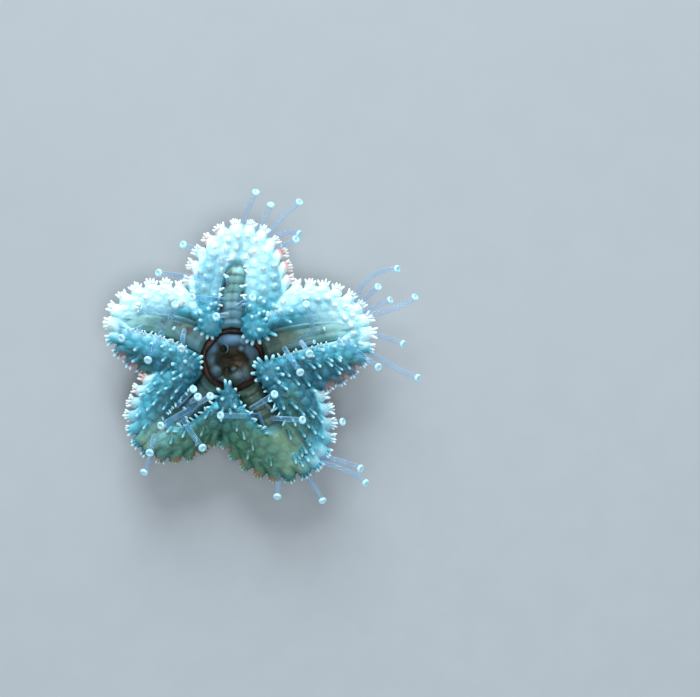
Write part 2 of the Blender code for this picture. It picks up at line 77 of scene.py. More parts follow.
# Heights of the frame's back, edge and mouth side, and the groove along each arm.
BACK_Z = 0.35
BACK_FLAT = 0.45
EDGE_LOW_Z = 2.65
EDGE_HIGH_Z = 3.35
EDGE_Z = (EDGE_LOW_Z + EDGE_HIGH_Z) / 2
EDGE_BULGE = 0.3
EDGE_HALF = 0.37
EDGE_SWING = 78.0  # degrees of the edge's half ellipse above and below its middle
CROWN_Z = 4.2
PUFF = 0.25
RIM_DROP = 0.2
TIP_LIFT = 0.45
GROOVE_WIDTH = 2.5
GROOVE_TIP_WIDTH = 1.5
GROOVE_DEPTH = 1.9
GROOVE_TIP_DEPTH = 0.35
WALL_SHARE = 0.16  # share of half a groove's width that its steep wall takes
SOFT_WALLS = np.array((0.5, 0.5, 1, 0, 0, 0, 0, 0, 0.15, 1.0))  # half arms that slope inwards
OPEN_SHARE = np.array((0.7, 0.86, 0.7, 0.6, 0.82))  # share of each arm where its groove is open
CLOSED_DEPTH = 0.4
SOFT_RISE = 0.5  # share of its depth that a groove loses beside flesh that slopes inwards
SOFT_DROP = 0.4  # how far that flesh sinks at the groove's rim
MOUTH_REACH = 2.9
MOUTH_FLOOR_Z = 1.65
RING_Z = 1.95  # the mouth's dark ring
RING_SLOPE = 0.18  # how far the wall round the mouth leans in
WELL_REACH = 2.55
SEAT_Z = 3.15  # the skin under a jaw's inner end
SEAT_END = 4.7

# Grid of the skin: points across a half arm, and rows from the back's middle to the mouth's.
FLOOR_COLUMNS, WALL_COLUMNS, FLESH_COLUMNS = 8, 8, 44
HALF_COLUMNS = FLOOR_COLUMNS + WALL_COLUMNS + FLESH_COLUMNS
BACK_ROWS, EDGE_ROWS, TOP_ROWS, WALL_ROWS, FLOOR_ROWS = 40, 14, 92, 5, 5
FIRST_TOP = BACK_ROWS + EDGE_ROWS
BACK, EDGE = slice(0, BACK_ROWS), slice(BACK_ROWS, FIRST_TOP)
TOP, WELL = slice(FIRST_TOP, FIRST_TOP + TOP_ROWS), slice(FIRST_TOP + TOP_ROWS, None)
BACK_SPAN = (0.03, 0.985)  # shares of the way out at the back's first and last rows
TOP_SPREAD = 1.25  # power that draws the mouth side's rows together at the edge
MIDDLE_ROW = BACK_ROWS + EDGE_ROWS // 2  # the last row of the back's half of the unwrap

# Half arms: the arm, its side and its notch, for each of the ten.
ARM_OF = np.repeat(np.arange(5), 2)
SIDE_OF = np.tile((-1, 1), 5)
NOTCH_OF = np.where(SIDE_OF > 0, ARM_OF, (ARM_OF - 1) % 5)
HALF_NOTCH_DEG = NOTCH_DEG[NOTCH_OF] - np.where((SIDE_OF < 0) & (ARM_OF == 0), 360.0, 0.0)

# Spinelets of an edge knob: rise round the edge in degrees, and places as shares of the knob.
KNOB_TIERS = (
    (34.0, (-0.2, 0.0, 0.2)),
    (0.0, (-0.22, -0.07, 0.09, 0.23)),
    (-38.0, (-0.1, 0.12)),
)

# Paler places of the flesh, partly its own tone and partly painted light, and darker ones as
# painted shade: x, y, size along x, size along y, and how much paler.
TONE_AND_LIGHT_PLACES = (
    (0.3, 11.0, 4.5, 2.6, 0.45),
    (-9.5, 5.0, 2.5, 2.2, 0.25),
    (11.0, 3.6, 2.4, 2.4, 0.3),
    (8.3, -7.6, 1.3, 2.4, 0.5),
    (3.4, 6.4, 1.5, 2.2, 0.12),
    (-1.3, 8.0, 1.3, 1.6, -0.12),
    (4.0, -7.0, 1.5, 1.5, -0.3),
    (7.4, -8.4, 1.2, 1.4, 0.35),
    (7.3, -9.6, 1.5, 1.2, 0.4),
    (-7.8, -4.8, 1.8, 2.8, 0.42),
    (-7.6, 4.6, 3.0, 1.4, 0.33),
    (7.8, 4.6, 3.2, 1.4, 0.16),
    (6.6, 0.2, 2.2, 1.2, -0.2),
    (7.4, -3.2, 1.4, 1.6, -0.28),
    (-3.5, 6.8, 3.0, 2.0, 0.15),
)

# Cream-green places of the lower arms: x, y, size along x, size along y, and strength.
CREAM_PLACES = (
    (4.9, -6.6, 1.2, 1.1, 0.25),
    (5.5, -9.3, 1.3, 1.1, 0.6),
    (-7.9, -7.3, 0.9, 0.9, 0.6),
    (-6.8, -6.5, 0.8, 0.8, 0.4),
    (-6.2, -9.3, 1.2, 0.8, 0.6),
    (8.2, 2.7, 2.2, 0.8, 0.3),
)

# Orange places of the edge: x, y, size and strength.
WARM_PLACES = (
    (4.3, 9.6, 0.6, 1.0),
    (4.9, 8.35, 0.55, 0.8),
    (5.15, 7.3, 0.5, 0.6),
    (-1.6, 11.1, 0.55, 0.6),
    (-2.2, 10.1, 0.6, 0.75),
    (-3.8, 7.5, 0.55, 0.7),
    (11.2, 5.5, 0.45, 0.4),
    (9.8, 5.9, 0.4, 0.3),
    (-9.6, 0.4, 0.5, 0.5),
    (-8.6, -0.5, 0.45, 0.7),
    (-8.0, -1.5, 0.45, 0.9),
    (-8.6, -2.9, 0.45, 0.5),
    (-9.0, -4.0, 0.4, 0.35),
    (-6.5, -9.0, 0.5, 0.6),
    (-4.8, -8.9, 0.5, 0.8),
    (-3.3, -8.2, 0.45, 0.6),
    (-2.0, -7.7, 0.45, 0.8),
    (-0.2, -7.8, 0.45, 0.7),
    (0.9, -8.8, 0.5, 0.95),
    (2.2, -9.8, 0.5, 0.95),
    (3.6, -10.6, 0.5, 0.7),
    (10.8, -0.5, 0.5, 0.5),
    (9.8, -1.3, 0.5, 0.65),
    (8.7, -2.2, 0.5, 0.65),
    (8.3, -5.1, 0.45, 0.5),
    (8.4, -6.6, 0.4, 0.3),
)

# Jaws: where each lies, how wide it is, and the tips of its spinelets in plan.
JAW_MIDDLE = np.array((3.8, 4.05, 3.5, 3.5, 3.55))
JAW_WIDTH = np.array((1.05, 1.15, 0.9, 1.15, 1.2))
JAW_IN, JAW_OUT = 1.15, 1.3
JAW_LOW_Z, JAW_HIGH_Z = 3.0, 4.4
JAW_ROOT_Z = 3.7
JAW_TIP_Z = (3.75, 3.95)
JAW_LUMPS = 11
JAW_SIDES, JAW_ROWS = 120, 36
JAW_TIPS = (
    ((-1.05, 2.53), (-1.31, 2.11), (-1.7, 1.72), (-2.2, 1.75), (-2.75, 2.1), (-3.4, 2.6),
     (-1.1, 3.3)),
    ((-3.18, 0.66), (-2.5, 0.38), (-2.45, -0.12), (-2.5, -0.7), (-3.1, -1.4), (-3.7, -1.8),
     (-4.0, 0.95)),
    ((-0.62, -1.65), (-0.16, -1.75), (0.42, -2.45), (0.72, -3.1), (0.95, -3.8), (-1.35, -2.45),
     (-1.75, -3.2)),
    ((2.2, 0.25), (2.95, 0.42), (3.65, 0.5), (1.74, -0.45), (1.6, -1.2), (1.95, -1.9),
     (2.7, -2.5), (1.85, -0.1)),
    ((0.85, 2.6), (0.84, 1.88), (1.22, 1.42), (1.74, 1.2), (2.5, 1.32), (3.3, 1.68),
     (1.0, 3.5), (4.0, 2.1)),
)

# Spinelets on a jaw's top: towards the mouth and across it.
JAW_TOPS = np.array(((0.1, 0.35), (-0.35, -0.5), (-0.8, 0.35), (-0.85, -0.25)))

# Lobes of the mouth's skin: x, y, size along x, size along y, and height; then its hollows.
MOUTH_LOBES = (
    (-0.2, 2.0, 1.25, 0.72, 0.42),
    (-1.85, 1.05, 0.62, 0.66, 0.34),
    (-1.98, 0.05, 0.6, 0.72, 0.26),
    (-1.45, -0.96, 0.5, 0.5, 0.42),
    (-0.95, -1.85, 0.55, 0.4, 0.22),
    (0.1, -0.84, 0.33, 0.3, 0.36),
    (0.45, -1.55, 0.8, 0.6, 0.34),
    (1.2, -1.3, 0.6, 0.7, 0.26),
    (1.9, -0.1, 0.55, 0.62, 0.26),
    (1.75, 0.75, 0.72, 0.8, 0.38),
    (0.78, 0.95, 0.32, 0.3, 0.26),
    (1.0, 1.8, 0.62, 0.55, 0.3),
)
MOUTH_HOLLOWS = (
    (-0.52, -1.05, 0.3, 0.42, 0.34),
    (-0.6, -0.1, 0.7, 0.55, 0.3),
    (0.7, 0.1, 0.7, 0.5, 0.18),
    (-0.8, 0.95, 0.24, 0.24, 0.28),
)
MOUTH_COIL = (-0.85, 0.95, 0.44, 0.08, 0.3)  # x, y, radius, half width and height of a thin fold

MOUTH_SIDES, MOUTH_ROWS = 160, 60

# Tube feet past an arm's edge: root x and y, end x, y and z, sideways bow.
EDGE_FEET = (
    (0.9, 11.3, 2.0, 14.4, 4.3, 0.1),
    (1.9, 11.0, 3.3, 13.3, 3.4, -0.1),
    (3.0, 10.7, 5.7, 13.6, 4.0, 0.1),
    (3.2, 9.9, 5.6, 11.1, 3.2, 0.55),
    (3.2, 9.3, 5.4, 10.4, 4.2, 0.0),
    (10.6, 4.9, 14.2, 7.9, 4.6, 0.45),
    (11.1, 4.6, 12.6, 6.2, 4.2, 0.1),
    (11.4, 4.2, 13.6, 5.1, 3.3, 0.0),
    (11.6, 3.9, 15.8, 5.3, 3.7, -0.15),
    (11.6, 2.3, 14.7, 1.5, 3.1, 0.1),
    (11.2, 1.4, 16.0, -1.5, 4.0, -0.1),
    (7.2, -5.9, 9.4, -5.5, 3.3, 0.0),
    (7.1, -8.4, 11.0, -9.4, 3.9, 0.1),
    (6.9, -8.9, 11.5, -10.6, 4.2, 0.2),
    (5.8, -9.4, 7.8, -12.1, 3.4, 0.1),
    (4.2, -9.3, 4.0, -11.7, 3.8, 0.0),
    (-6.6, -7.2, -7.6, -9.6, 3.6, 0.0),
)

# Tube feet that stand in a groove: arm, distance out, side of the groove, end x, y and z.
GROOVE_FEET = (
    (0, 8.6, 1, -3.9, 9.9, 6.1),
    (0, 6.8, 1, -6.0, 7.5, 6.3),
    (0, 5.2, 1, -3.1, 5.4, 6.0),
    (0, 4.0, 1, -1.1, 3.8, 5.9),
    (0, 4.6, -1, 1.7, 5.3, 6.0),
    (1, 8.2, 1, -9.3, 2.0, 6.0),
    (1, 5.0, -1, -4.3, 1.2, 5.6),
    (1, 6.6, 1, -7.1, 0.2, 6.0),
    (1, 6.4, -1, -4.9, 4.6, 6.0),
    (2, 5.2, -1, -3.0, -3.3, 5.7),
    (2, 6.4, -3, -3.45, -2.7, 5.3),
    (2, 4.8, 1, -1.95, -3.25, 5.7),
    (2, 5.5, 0.5, -5.9, -5.6, 5.6),
    (2, 6.8, 1, -2.6, -7.45, 5.9),
    (2, 9.5, 0, -7.05, -7.9, 5.2),
    (3, 4.6, -2.5, 3.6, -3.1, 5.8),
    (3, 6.2, 1, 6.0, -5.2, 6.1),
    (3, 5.4, -2, -0.7, -4.85, 5.1),
    (4, 6.2, -1, 6.7, 0.7, 6.0),
    (4, 9.2, -1, 12.6, -0.5, 6.2),
    (4, 7.6, 1, 6.6, 4.6, 6.0),
    (4, 4.6, -1, 5.9, -0.9, 6.1),
)
FOOT_OVER_Z = 4.7
FOOT_SIDES, FOOT_ROWS, BULB_ROWS = 14, 30, 10
SUCKER_LENGTH = 1.25  # of its radius

# Rings of a sucker's face: share of its radius, how far it stands out, and how pale it is; the pale
# outer ring is partly a painted ring highlight.
SUCKER_FACE = np.array(((0.72, 0.06, 0.95), (0.5, -0.05, 0.8), (0.25, -0.2, 0.66)))

# Feet that lie in a groove: arm, distance out, place across, and length.
LYING_FEET = (
    (0, 5.4, -0.5, 0.9),
    (0, 6.2, 0.45, 0.9),
    (1, 5.6, -0.55, 3.0),
    (1, 5.9, -0.2, 3.1),
    (1, 6.3, 0.2, 2.8),
    (1, 4.4, 0.5, 1.2),
    (2, 4.0, -0.3, 1.8),
    (2, 4.4, 0.35, 1.9),
    (2, 5.0, 0.05, 2.2),
    (2, 5.2, -0.6, 1.5),
    (3, 4.2, 0.4, 1.3),
    (3, 5.2, -0.4, 1.2),
    (4, 5.0, -0.5, 2.2),
    (4, 6.0, -0.1, 2.4),
)
GREY = np.array((1.0, 0.5, 0.35, 0.1, 0.2))  # how grey-blue each groove is by the mouth
OLIVE = np.array((0.0, 0.5, 0.0, 1.0, 1.0))  # how olive
PALE_END = np.array((0.8, 0.75, 0.4, 0.4, 1.0))  # how pale its outer end is
DEEP = np.array((0.0, 0.1, 0.9, 0.3, 0.15))  # how dark each groove is
RAISED = (0.5, 0.4, 0.0, 0.0, 0.4)  # how far its strip stands above its seat
RIBS = np.array((0.6, 0.12, 0.5, 0.8, 0.12))  # how strongly each groove is ribbed

# Brown spots of the grooves: arm, distance out, place across, size, strength.
BROWN_SPOTS = (
    (0, 4.7, -0.75, 0.3, 0.9),
    (0, 4.9, 0.8, 0.26, 0.8),
    (0, 5.9, 0.8, 0.24, 0.7),
    (0, 6.6, -0.65, 0.32, 1.0),
    (0, 7.7, -0.5, 0.34, 0.7),
    (0, 8.5, 0.0, 0.3, 0.6),
    (1, 6.8, 0.45, 0.34, 0.6),
    (1, 5.9, 0.35, 0.26, 0.75),
    (1, 5.5, 0.4, 0.2, 0.8),
    (1, 4.6, 0.25, 0.42, 0.95),
)
COMB_RISE = (0.75, 1.3, 0.8, 0.75, 1.4)  # how upright each groove's spinelets stand
COMB_PITCH = 0.82
TUFT = 6  # granules on each plate of the back

SINK = (1.3, 2.4, 2.4, 2.4, 2.4)  # length over which a strip's outer end sinks
STRIP_SIDES, STRIP_ROWS = 40, 150
STRIP_RISE = 0.85  # height of a strip's top over its groove's floor
DIM = np.array((0.15, 0.0, 0.5, 0.75, 0.25))  # how dark each strip is, for its colour

SHEET = 0.47  # half the height of each disc on the coat's unwrap
PATCH = 0.0015  # half the width of one spinelet's patch there

# Rings of a spinelet: share of its length, radius of a cone's and what a peg's adds to it, and
# size on its patch of the unwrap.
SPINELET_RINGS = np.array((
    (-0.28, 1.5, -0.6, 1.0),
    (0.05, 1.2, -0.2, 0.9),
    (0.5, 0.78, 0.2, 0.6),
    (0.86, 0.48, 0.34, 0.3),
))
SPINELET_SIDES = 6


# Plan and heights


def smooth(value):
    """0 below 0, 1 above 1, and an easy curve between."""
    value = np.clip(value, 0.0, 1.0)
    return value * value * (3 - 2 * value)


def polar(rho, deg, z=0.0):
    """Points a distance out in a direction, at a height."""
    turn = np.radians(deg)
    return np.stack(np.broadcast_arrays(rho * np.cos(turn), rho * np.sin(turn), z), axis=-1)


def unit(vectors):
    """Vectors brought to a length of 1."""
    return vectors / np.maximum(np.linalg.norm(vectors, axis=-1, keepdims=True), 1e-9)


def outline(arm, deg):
    """Reach of the body's edge: a cosine from an arm's tip, softened at the notch."""
    half = 2 * arm + (deg >= TIP_DEG[arm])
    notch = NOTCH_REACH[NOTCH_OF[half]]
    share = (deg - TIP_DEG[arm]) / (HALF_NOTCH_DEG[half] - TIP_DEG[arm])
    bend = np.hypot(np.cos(np.minimum(share, 1.0) * np.pi / 2), NOTCH_SOFTNESS) - NOTCH_SOFTNESS
    bend /= np.hypot(1.0, NOTCH_SOFTNESS) - NOTCH_SOFTNESS
    return notch + (ARM_REACH[arm] - notch) * bend


def axis_deg(arm, rho):
    """Direction of a groove's middle line, which bends from its root to its tip."""
    along = smooth((rho - MOUTH_REACH) / (ARM_REACH[arm] - MOUTH_REACH))
    return ROOT_DEG[arm] + (TIP_DEG[arm] - ROOT_DEG[arm]) * along


def groove_width(arm, rho):
    """Width of a groove, eased from its root's to its tip's."""
    along = smooth((rho - 4.0) / (ARM_REACH[arm] - 4.0))
    return GROOVE_WIDTH + (GROOVE_TIP_WIDTH - GROOVE_WIDTH) * along


def groove_depth(arm, rho):
    """Depth of a groove under the dome, eased to its tip's over the arm's outer half."""
    along = smooth((rho / ARM_REACH[arm] - 0.55) / 0.42)
    return GROOVE_DEPTH + (GROOVE_TIP_DEPTH - GROOVE_DEPTH) * along


def closed(arm, rho):
    """0 where a groove lies open and 1 where the flesh beside it meets over it."""
    return smooth((rho / ARM_REACH[arm] - OPEN_SHARE[arm] + 0.09) / 0.16)


def wall_share(half, rho):
    """Share of half a groove's width that its wall takes: more beside soft or closed flesh."""
    soft = SOFT_WALLS[half] * 0.85
    return WALL_SHARE + (0.95 - WALL_SHARE) * np.maximum(soft, closed(ARM_OF[half], rho))


def tip_lift(rho):
    """How far the arms rise, by the cube of the distance out."""
    return TIP_LIFT * (rho / 12.0) ** 3


def direction(half, across, rho):
    """Direction of a place across a half arm: -1 is the groove's middle, 0 its rim, 1 the notch."""
    arm = ARM_OF[half]
    axis = axis_deg(arm, rho)
    near = np.maximum(rho, MOUTH_REACH)
    rim = axis + SIDE_OF[half] * np.degrees(np.arcsin(groove_width(arm, near) / 2 / near))
    inside = axis + (rim - axis) * (1 + across)
    return np.where(across < 0, inside, rim + across * (HALF_NOTCH_DEG[half] - rim))


def place(half, across, share):
    """(distance out, direction) a share of the way from the mouth's rim to the body's edge.

    The direction depends on the distance, so the two are found in turns.
    """
    rho = np.full(np.broadcast(half, across, share).shape, MOUTH_REACH)
    for _ in range(12):
        deg = direction(half, across, rho)
        rho = MOUTH_REACH + share * (outline(ARM_OF[half], deg) - MOUTH_REACH)
    return rho, deg


def crown_height(share, rho):
    """The mouth side without grooves: a dome over the edge's height, plus the arms' lift.

    The dome is 1 less the cube of the share of the way out, to the power 0.6, so that it is flat
    and falls steeply at the edge.
    """
    dome = (1 - np.minimum(share, 1.0) ** 3) ** 0.6
    return EDGE_HIGH_Z + (CROWN_Z - EDGE_HIGH_Z) * dome + tip_lift(rho)


def top_height(half, across, rho, deg):
    """Height of the mouth side.

    Flesh is the dome, raised between grooves by a sine of the place across, lowered at a groove's
    rim, more where it slopes inwards, and brought down to the jaws' seat near the mouth. A
    groove's floor is its depth under the dome, less deep beside flesh that slopes inwards, and
    only a furrow where the groove is closed. Its wall is an easy curve of the place across
    between the two.
    """
    arm = ARM_OF[half]
    share = rho / outline(arm, deg)
    crown = crown_height(share, rho)
    aside = np.maximum(across, 0.0)
    inner = 1 - smooth((share - 0.78) / 0.2)
    soft = SOFT_WALLS[half] * smooth((rho - 3.4) / 1.8)
    drop = RIM_DROP * (1 - soft) * (1 - aside) ** 6 + SOFT_DROP * soft * (1 - aside) ** 2.2
    flesh = crown + PUFF * np.sin(np.pi * aside) * (1 - share**4) - drop * inner
    flesh -= (flesh - SEAT_Z) * (1 - smooth((rho - MOUTH_REACH) / (SEAT_END - MOUTH_REACH)))
    shut = closed(arm, rho)
    floor = crown - groove_depth(arm, rho) * (1 - shut) * (1 - SOFT_RISE * soft)
    floor -= CLOSED_DEPTH * shut * inner
    floor = np.minimum(floor, flesh)
    return floor + (flesh - floor) * smooth(1 + across / wall_share(half, rho))


def groove_floor(arm, rho):
    """Height of a groove's floor on its middle line."""
    return crown_height(rho / outline(arm, axis_deg(arm, rho)), rho) - groove_depth(arm, rho)


def back_height(share, rho):
    """Height of the back: flat, then a parabola up to the edge, plus the arms' lift."""
    rise = np.maximum(0.0, (share - BACK_FLAT) / (1 - BACK_FLAT)) ** 2
    return BACK_Z + (EDGE_LOW_Z - BACK_Z) * rise + tip_lift(rho)


def strip_end(arm):
    """Distance out where a groove's strip ends, a little past the place where the flesh meets."""
    return ARM_REACH[arm] * (OPEN_SHARE[arm] + 0.06)


# Meshes


def ring_mesh(name, rings, first, last, values=None, patches=None):
    """Object of N closed surfaces, each of R rings of C points between two poles.

    rings is (N, R, C, 3), and first and last are (N, 3). The points of a ring turn anticlockwise
    about the way from the first pole to the last, which turns the faces outwards. values gives
    numbers to points and patches their places on the coat's unwrap, both in the rings' order
    with the two poles after them.
    """
    count, rows, columns = rings.shape[:3]
    each = rows * columns + 2
    points = np.concatenate([rings.reshape(count, -1, 3), first[:, None], last[:, None]], axis=1)
    row, column = np.meshgrid(np.arange(rows - 1), np.arange(columns), indexing="ij")
    here, beside = row * columns + column, row * columns + (column + 1) % columns
    quads = np.stack([here, beside, beside + columns, here + columns], axis=-1).reshape(-1)
    side = np.arange(columns)
    after = (side + 1) % columns
    low = np.stack([after, side, np.full(columns, each - 2)], axis=-1).reshape(-1)
    end = (rows - 1) * columns
    high = np.stack([end + side, end + after, np.full(columns, each - 1)], axis=-1).reshape(-1)
    corners = np.concatenate([quads, low, high])
    sizes = np.concatenate([np.full(len(quads) // 4, 4), np.full(2 * columns, 3)])
    corners = (corners[None] + each * np.arange(count)[:, None]).reshape(-1)
    sizes = np.tile(sizes, count)
    mesh = bpy.data.meshes.new(name)
    mesh.vertices.add(count * each)
    mesh.vertices.foreach_set("co", (points * MM).astype(np.float32).reshape(-1))
    mesh.loops.add(len(corners))
    mesh.loops.foreach_set("vertex_index", corners.astype(np.int32))
    mesh.polygons.add(len(sizes))
    mesh.polygons.foreach_set("loop_start", (np.cumsum(sizes) - sizes).astype(np.int32))
    mesh.update(calc_edges=True)
    mesh.shade_smooth()
    for key, numbers in (values or {}).items():
        layer = mesh.attributes.new(key, "FLOAT", "POINT")
        layer.data.foreach_set("value", np.asarray(numbers, np.float32).reshape(-1))
    if patches is not None:
        layer = mesh.uv_layers.new(name="OFBake")
        layer.uv.foreach_set("vector", patches(corners).astype(np.float32).reshape(-1))
    obj = bpy.data.objects.new(name, mesh)
    bpy.context.scene.collection.objects.link(obj)
    return obj


def one_surface(name, rings, fields, patches=None):
    """Object of one closed surface with a grid of numbers for each field.

    Its poles are the middles of its end rings.
    """
    values = {key: np.concatenate([field.ravel(), field[0, :1], field[-1, :1]])
              for key, field in fields.items()}
    first, last = rings[0].mean(axis=0), rings[-1].mean(axis=0)
    return ring_mesh(name, rings[None], first[None], last[None], values, patches)


def grid_normals(points):
    """Unit normals of a grid of rows whose columns close into rings."""
    along = np.gradient(points, axis=0)
    around = np.roll(points, -1, axis=1) - np.roll(points, 1, axis=1)
    return unit(np.cross(around, along))


def square_to(ahead):
    """Two unit vectors square to each direction and to each other."""
    level = np.where(np.abs(ahead[..., 2:]) < 0.9, UP, np.array((1.0, 0.0, 0.0)))
    aside = unit(np.cross(level, ahead))
    return aside, np.cross(ahead, aside)


def dress(obj, material, nodes=()):
    """Gives a finished piece its material, parents it to the root body and hides the frame's nodes
    that it stands for.
    """
    obj.data.materials.append(material)
    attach(obj, "root")
    if nodes:
        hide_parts(*nodes)


# Body


def cobbles(along, aside, half, pitch, seed):
    """Rounded plates on a staggered, slightly uneven grid.

    Returns the distance to the nearest plate's middle, how far the place is from the plate's
    border (0 there, 1 at about half a pitch), and the plate's number.
    """
    rng = np.random.default_rng(seed)
    nudge = rng.uniform(-0.17, 0.17, (10, 40, 40, 2)) * pitch
    lane = np.floor(aside / pitch).astype(int)
    nearest = np.full(along.shape, np.inf)
    second = nearest.copy()
    number = np.zeros(along.shape, int)
    for lane_step in (-1, 0, 1):
        row = np.clip(lane + lane_step, -2, 30)
        shift = 0.5 * (row % 2)
        station = np.round(along / pitch - shift).astype(int)
        for step in (-1, 0, 1):
            spot = np.clip(station + step, -2, 35)
            moved = nudge[half, row + 3, spot + 3]
            run = (spot + shift) * pitch + moved[..., 0] - along
            away = np.hypot(run, (row + 0.5) * pitch + moved[..., 1] - aside)
            closer = away < nearest
            second = np.where(closer, nearest, np.minimum(second, away))
            number = np.where(closer, (half * 100 + row + 3) * 100 + spot + 3, number)
            nearest = np.where(closer, away, nearest)
    return nearest, smooth((second - nearest) / (0.62 * pitch)), number


def edge_knobs(edge, knob_pitch):
    """Knob number and share of it at each column, counted from an arm's tip to its notches."""
    steps = np.linalg.norm(np.roll(edge, -1, axis=0) - edge, axis=-1)
    run = np.concatenate([[0.0], np.cumsum(steps)])
    phase = np.zeros(len(edge))
    counts = []
    for half in range(10):
        tip = (2 * ARM_OF[half] + 1) * HALF_COLUMNS
        columns = tip + SIDE_OF[half] * np.arange(HALF_COLUMNS + 1)
        away = np.abs(run[columns] - run[tip])
        counts.append(max(1, round(away[-1] / knob_pitch)))
        phase[columns % len(edge)] = away / away[-1] * counts[-1]
    return phase, counts


def grid_shares():
    """Half arm and place across of each column, anticlockwise from the last notch."""
    floor = np.linspace(-1.0, -WALL_SHARE, FLOOR_COLUMNS + 1)[:-1]
    wall = np.linspace(-WALL_SHARE, 0.0, WALL_COLUMNS + 1)[:-1]
    outwards = np.concatenate([floor, wall, np.linspace(0.0, 1.0, FLESH_COLUMNS + 1)])
    across = np.tile(np.concatenate([outwards[:0:-1], outwards[:-1]]), 5)
    return np.repeat(np.arange(10), HALF_COLUMNS), across


def plain_form(half, across):
    """The skin before its relief, in rows from the back's middle to the mouth's.

    The back is a bowl, the edge half an ellipse, and the mouth side a flat dome with five
    grooves. The mouth is a round hollow: an eased wall down to its ring, then an eased floor.
    over is each point's distance over the edge from its middle, and less than 0 on the back.
    """
    edge_rho, edge_deg = place(half, across, 1.0)
    edge = polar(edge_rho, edge_deg)
    out = unit(np.cross(np.roll(edge, -1, axis=0) - np.roll(edge, 1, axis=0), UP))

    back_share = np.linspace(*BACK_SPAN, BACK_ROWS)[:, None]
    back_rho = back_share * edge_rho
    back = polar(back_rho, edge_deg, back_height(back_share, back_rho))

    swing = np.radians(np.linspace(-EDGE_SWING, EDGE_SWING, EDGE_ROWS))[:, None]
    rim = edge + out * EDGE_BULGE * np.cos(swing)[..., None]
    rim[..., 2] = EDGE_Z + tip_lift(edge_rho) + EDGE_HALF * np.sin(swing)

    top_share = 1 - np.linspace(0.08, 1.0, TOP_ROWS)[:, None] ** TOP_SPREAD
    top_share = top_share / top_share[0] * 0.99
    top_rho, top_deg = place(half, across, top_share)
    top = polar(top_rho, top_deg, top_height(half, across, top_rho, top_deg))

    drop = np.linspace(0.2, 1.0, WALL_ROWS)[:, None]
    root_deg = direction(half, across, np.full(len(half), MOUTH_REACH))
    ledge = top[-1, :, 2]
    wall_z = ledge + (RING_Z - ledge) * smooth(drop)
    wall = polar(MOUTH_REACH - RING_SLOPE * drop, root_deg, wall_z)
    inner = np.linspace(WELL_REACH, 0.2, FLOOR_ROWS)[:, None]
    well = polar(inner, root_deg, MOUTH_FLOOR_Z + (RING_Z - MOUTH_FLOOR_Z) * smooth(inner - 1.6))

    points = np.concatenate([back, rim, top, wall, well])
    over = np.full(points.shape[:2], 9.0)
    over[BACK] = -0.5 - (1 - back_share) * edge_rho
    over[EDGE] = EDGE_HALF * swing
    over[TOP] = 0.5 + (1 - top_share) * (edge_rho - MOUTH_REACH)
    return {"points": points, "over": over, "edge": edge, "edge_deg": edge_deg, "out": out,
            "back_rho": back_rho, "top_rho": top_rho, "top_deg": top_deg}


def edge_relief(phase, over):
    """Place across a knob, its swell and the depth of the gaps beside it.

    The swell is the square root of 1 less the 2.3rd power of the place across. The gaps are what
    is left of it, shallow at an arm's tip. Both fade with the distance from the edge's middle.
    """
    within = np.abs(2 * (phase - np.floor(phase)) - 1)
    knob = np.sqrt(np.clip(1 - within**2.3, 0, 1))
    gap = (1 - knob) * smooth((1.7 - np.abs(over)) / 1.3)
    gap = 0.75 * gap * (1 - 0.7 * np.exp(-((phase / 0.4) ** 2)))
    return within, knob * smooth((1.4 - np.abs(over)) / 0.7), gap


def plate_fields(half, across, plain, pitch):
    """Swell of the plates, distance to the nearest one's middle and its number.

    On the mouth side the plates stand along the grooves and fade at their rims. On the back they
    stand along the arms.
    """
    arm, shape = ARM_OF[half], plain["points"].shape[:2]
    plates, aways, numbers = np.zeros(shape), np.full(shape, 9.0), np.full(shape, -1)
    rho = plain["top_rho"]
    off = np.radians(np.abs(plain["top_deg"] - axis_deg(arm, rho)))
    aside = rho * np.sin(off) - groove_width(arm, rho) / 2
    wide = np.broadcast_to(half, rho.shape)
    shut = closed(arm, rho)
    aways[TOP], plate, numbers[TOP] = cobbles(rho * np.cos(off), aside, wide, pitch, 3)
    start = 0.06 + 0.3 * SOFT_WALLS[half]
    plates[TOP] = plate * smooth((across + 0.75 * shut) / start + 0.25 * shut)

    rho, turn = plain["back_rho"], np.radians(plain["edge_deg"] - TIP_DEG[arm])
    sideways = np.abs(rho * np.sin(turn))
    wide = np.broadcast_to(half, rho.shape)
    aways[BACK], plates[BACK], number = cobbles(rho * np.cos(turn), sideways, wide, pitch * 0.92, 5)
    numbers[BACK] = number + 10**6
    return plates, aways, numbers, aside


def warm_places(points, over, within, spots, low):
    """How orange the edge is: bells in some of its gaps and at the orange places."""
    blob = smooth((0.85 - within) / 0.6) * np.exp(-(((over + 0.7) / 0.45) ** 2))
    warm = blob * smooth((spots - 0.5 + 0.4 * low) / 0.15) * 0.8
    outer = np.exp(-(((over + 0.1) / 0.75) ** 4))
    for at_x, at_y, size, strength in WARM_PLACES:
        away = np.hypot(points[..., 0] - at_x, points[..., 1] - at_y) / size
        warm = np.maximum(warm, strength * outer * np.exp(-(away**2)))
    return warm


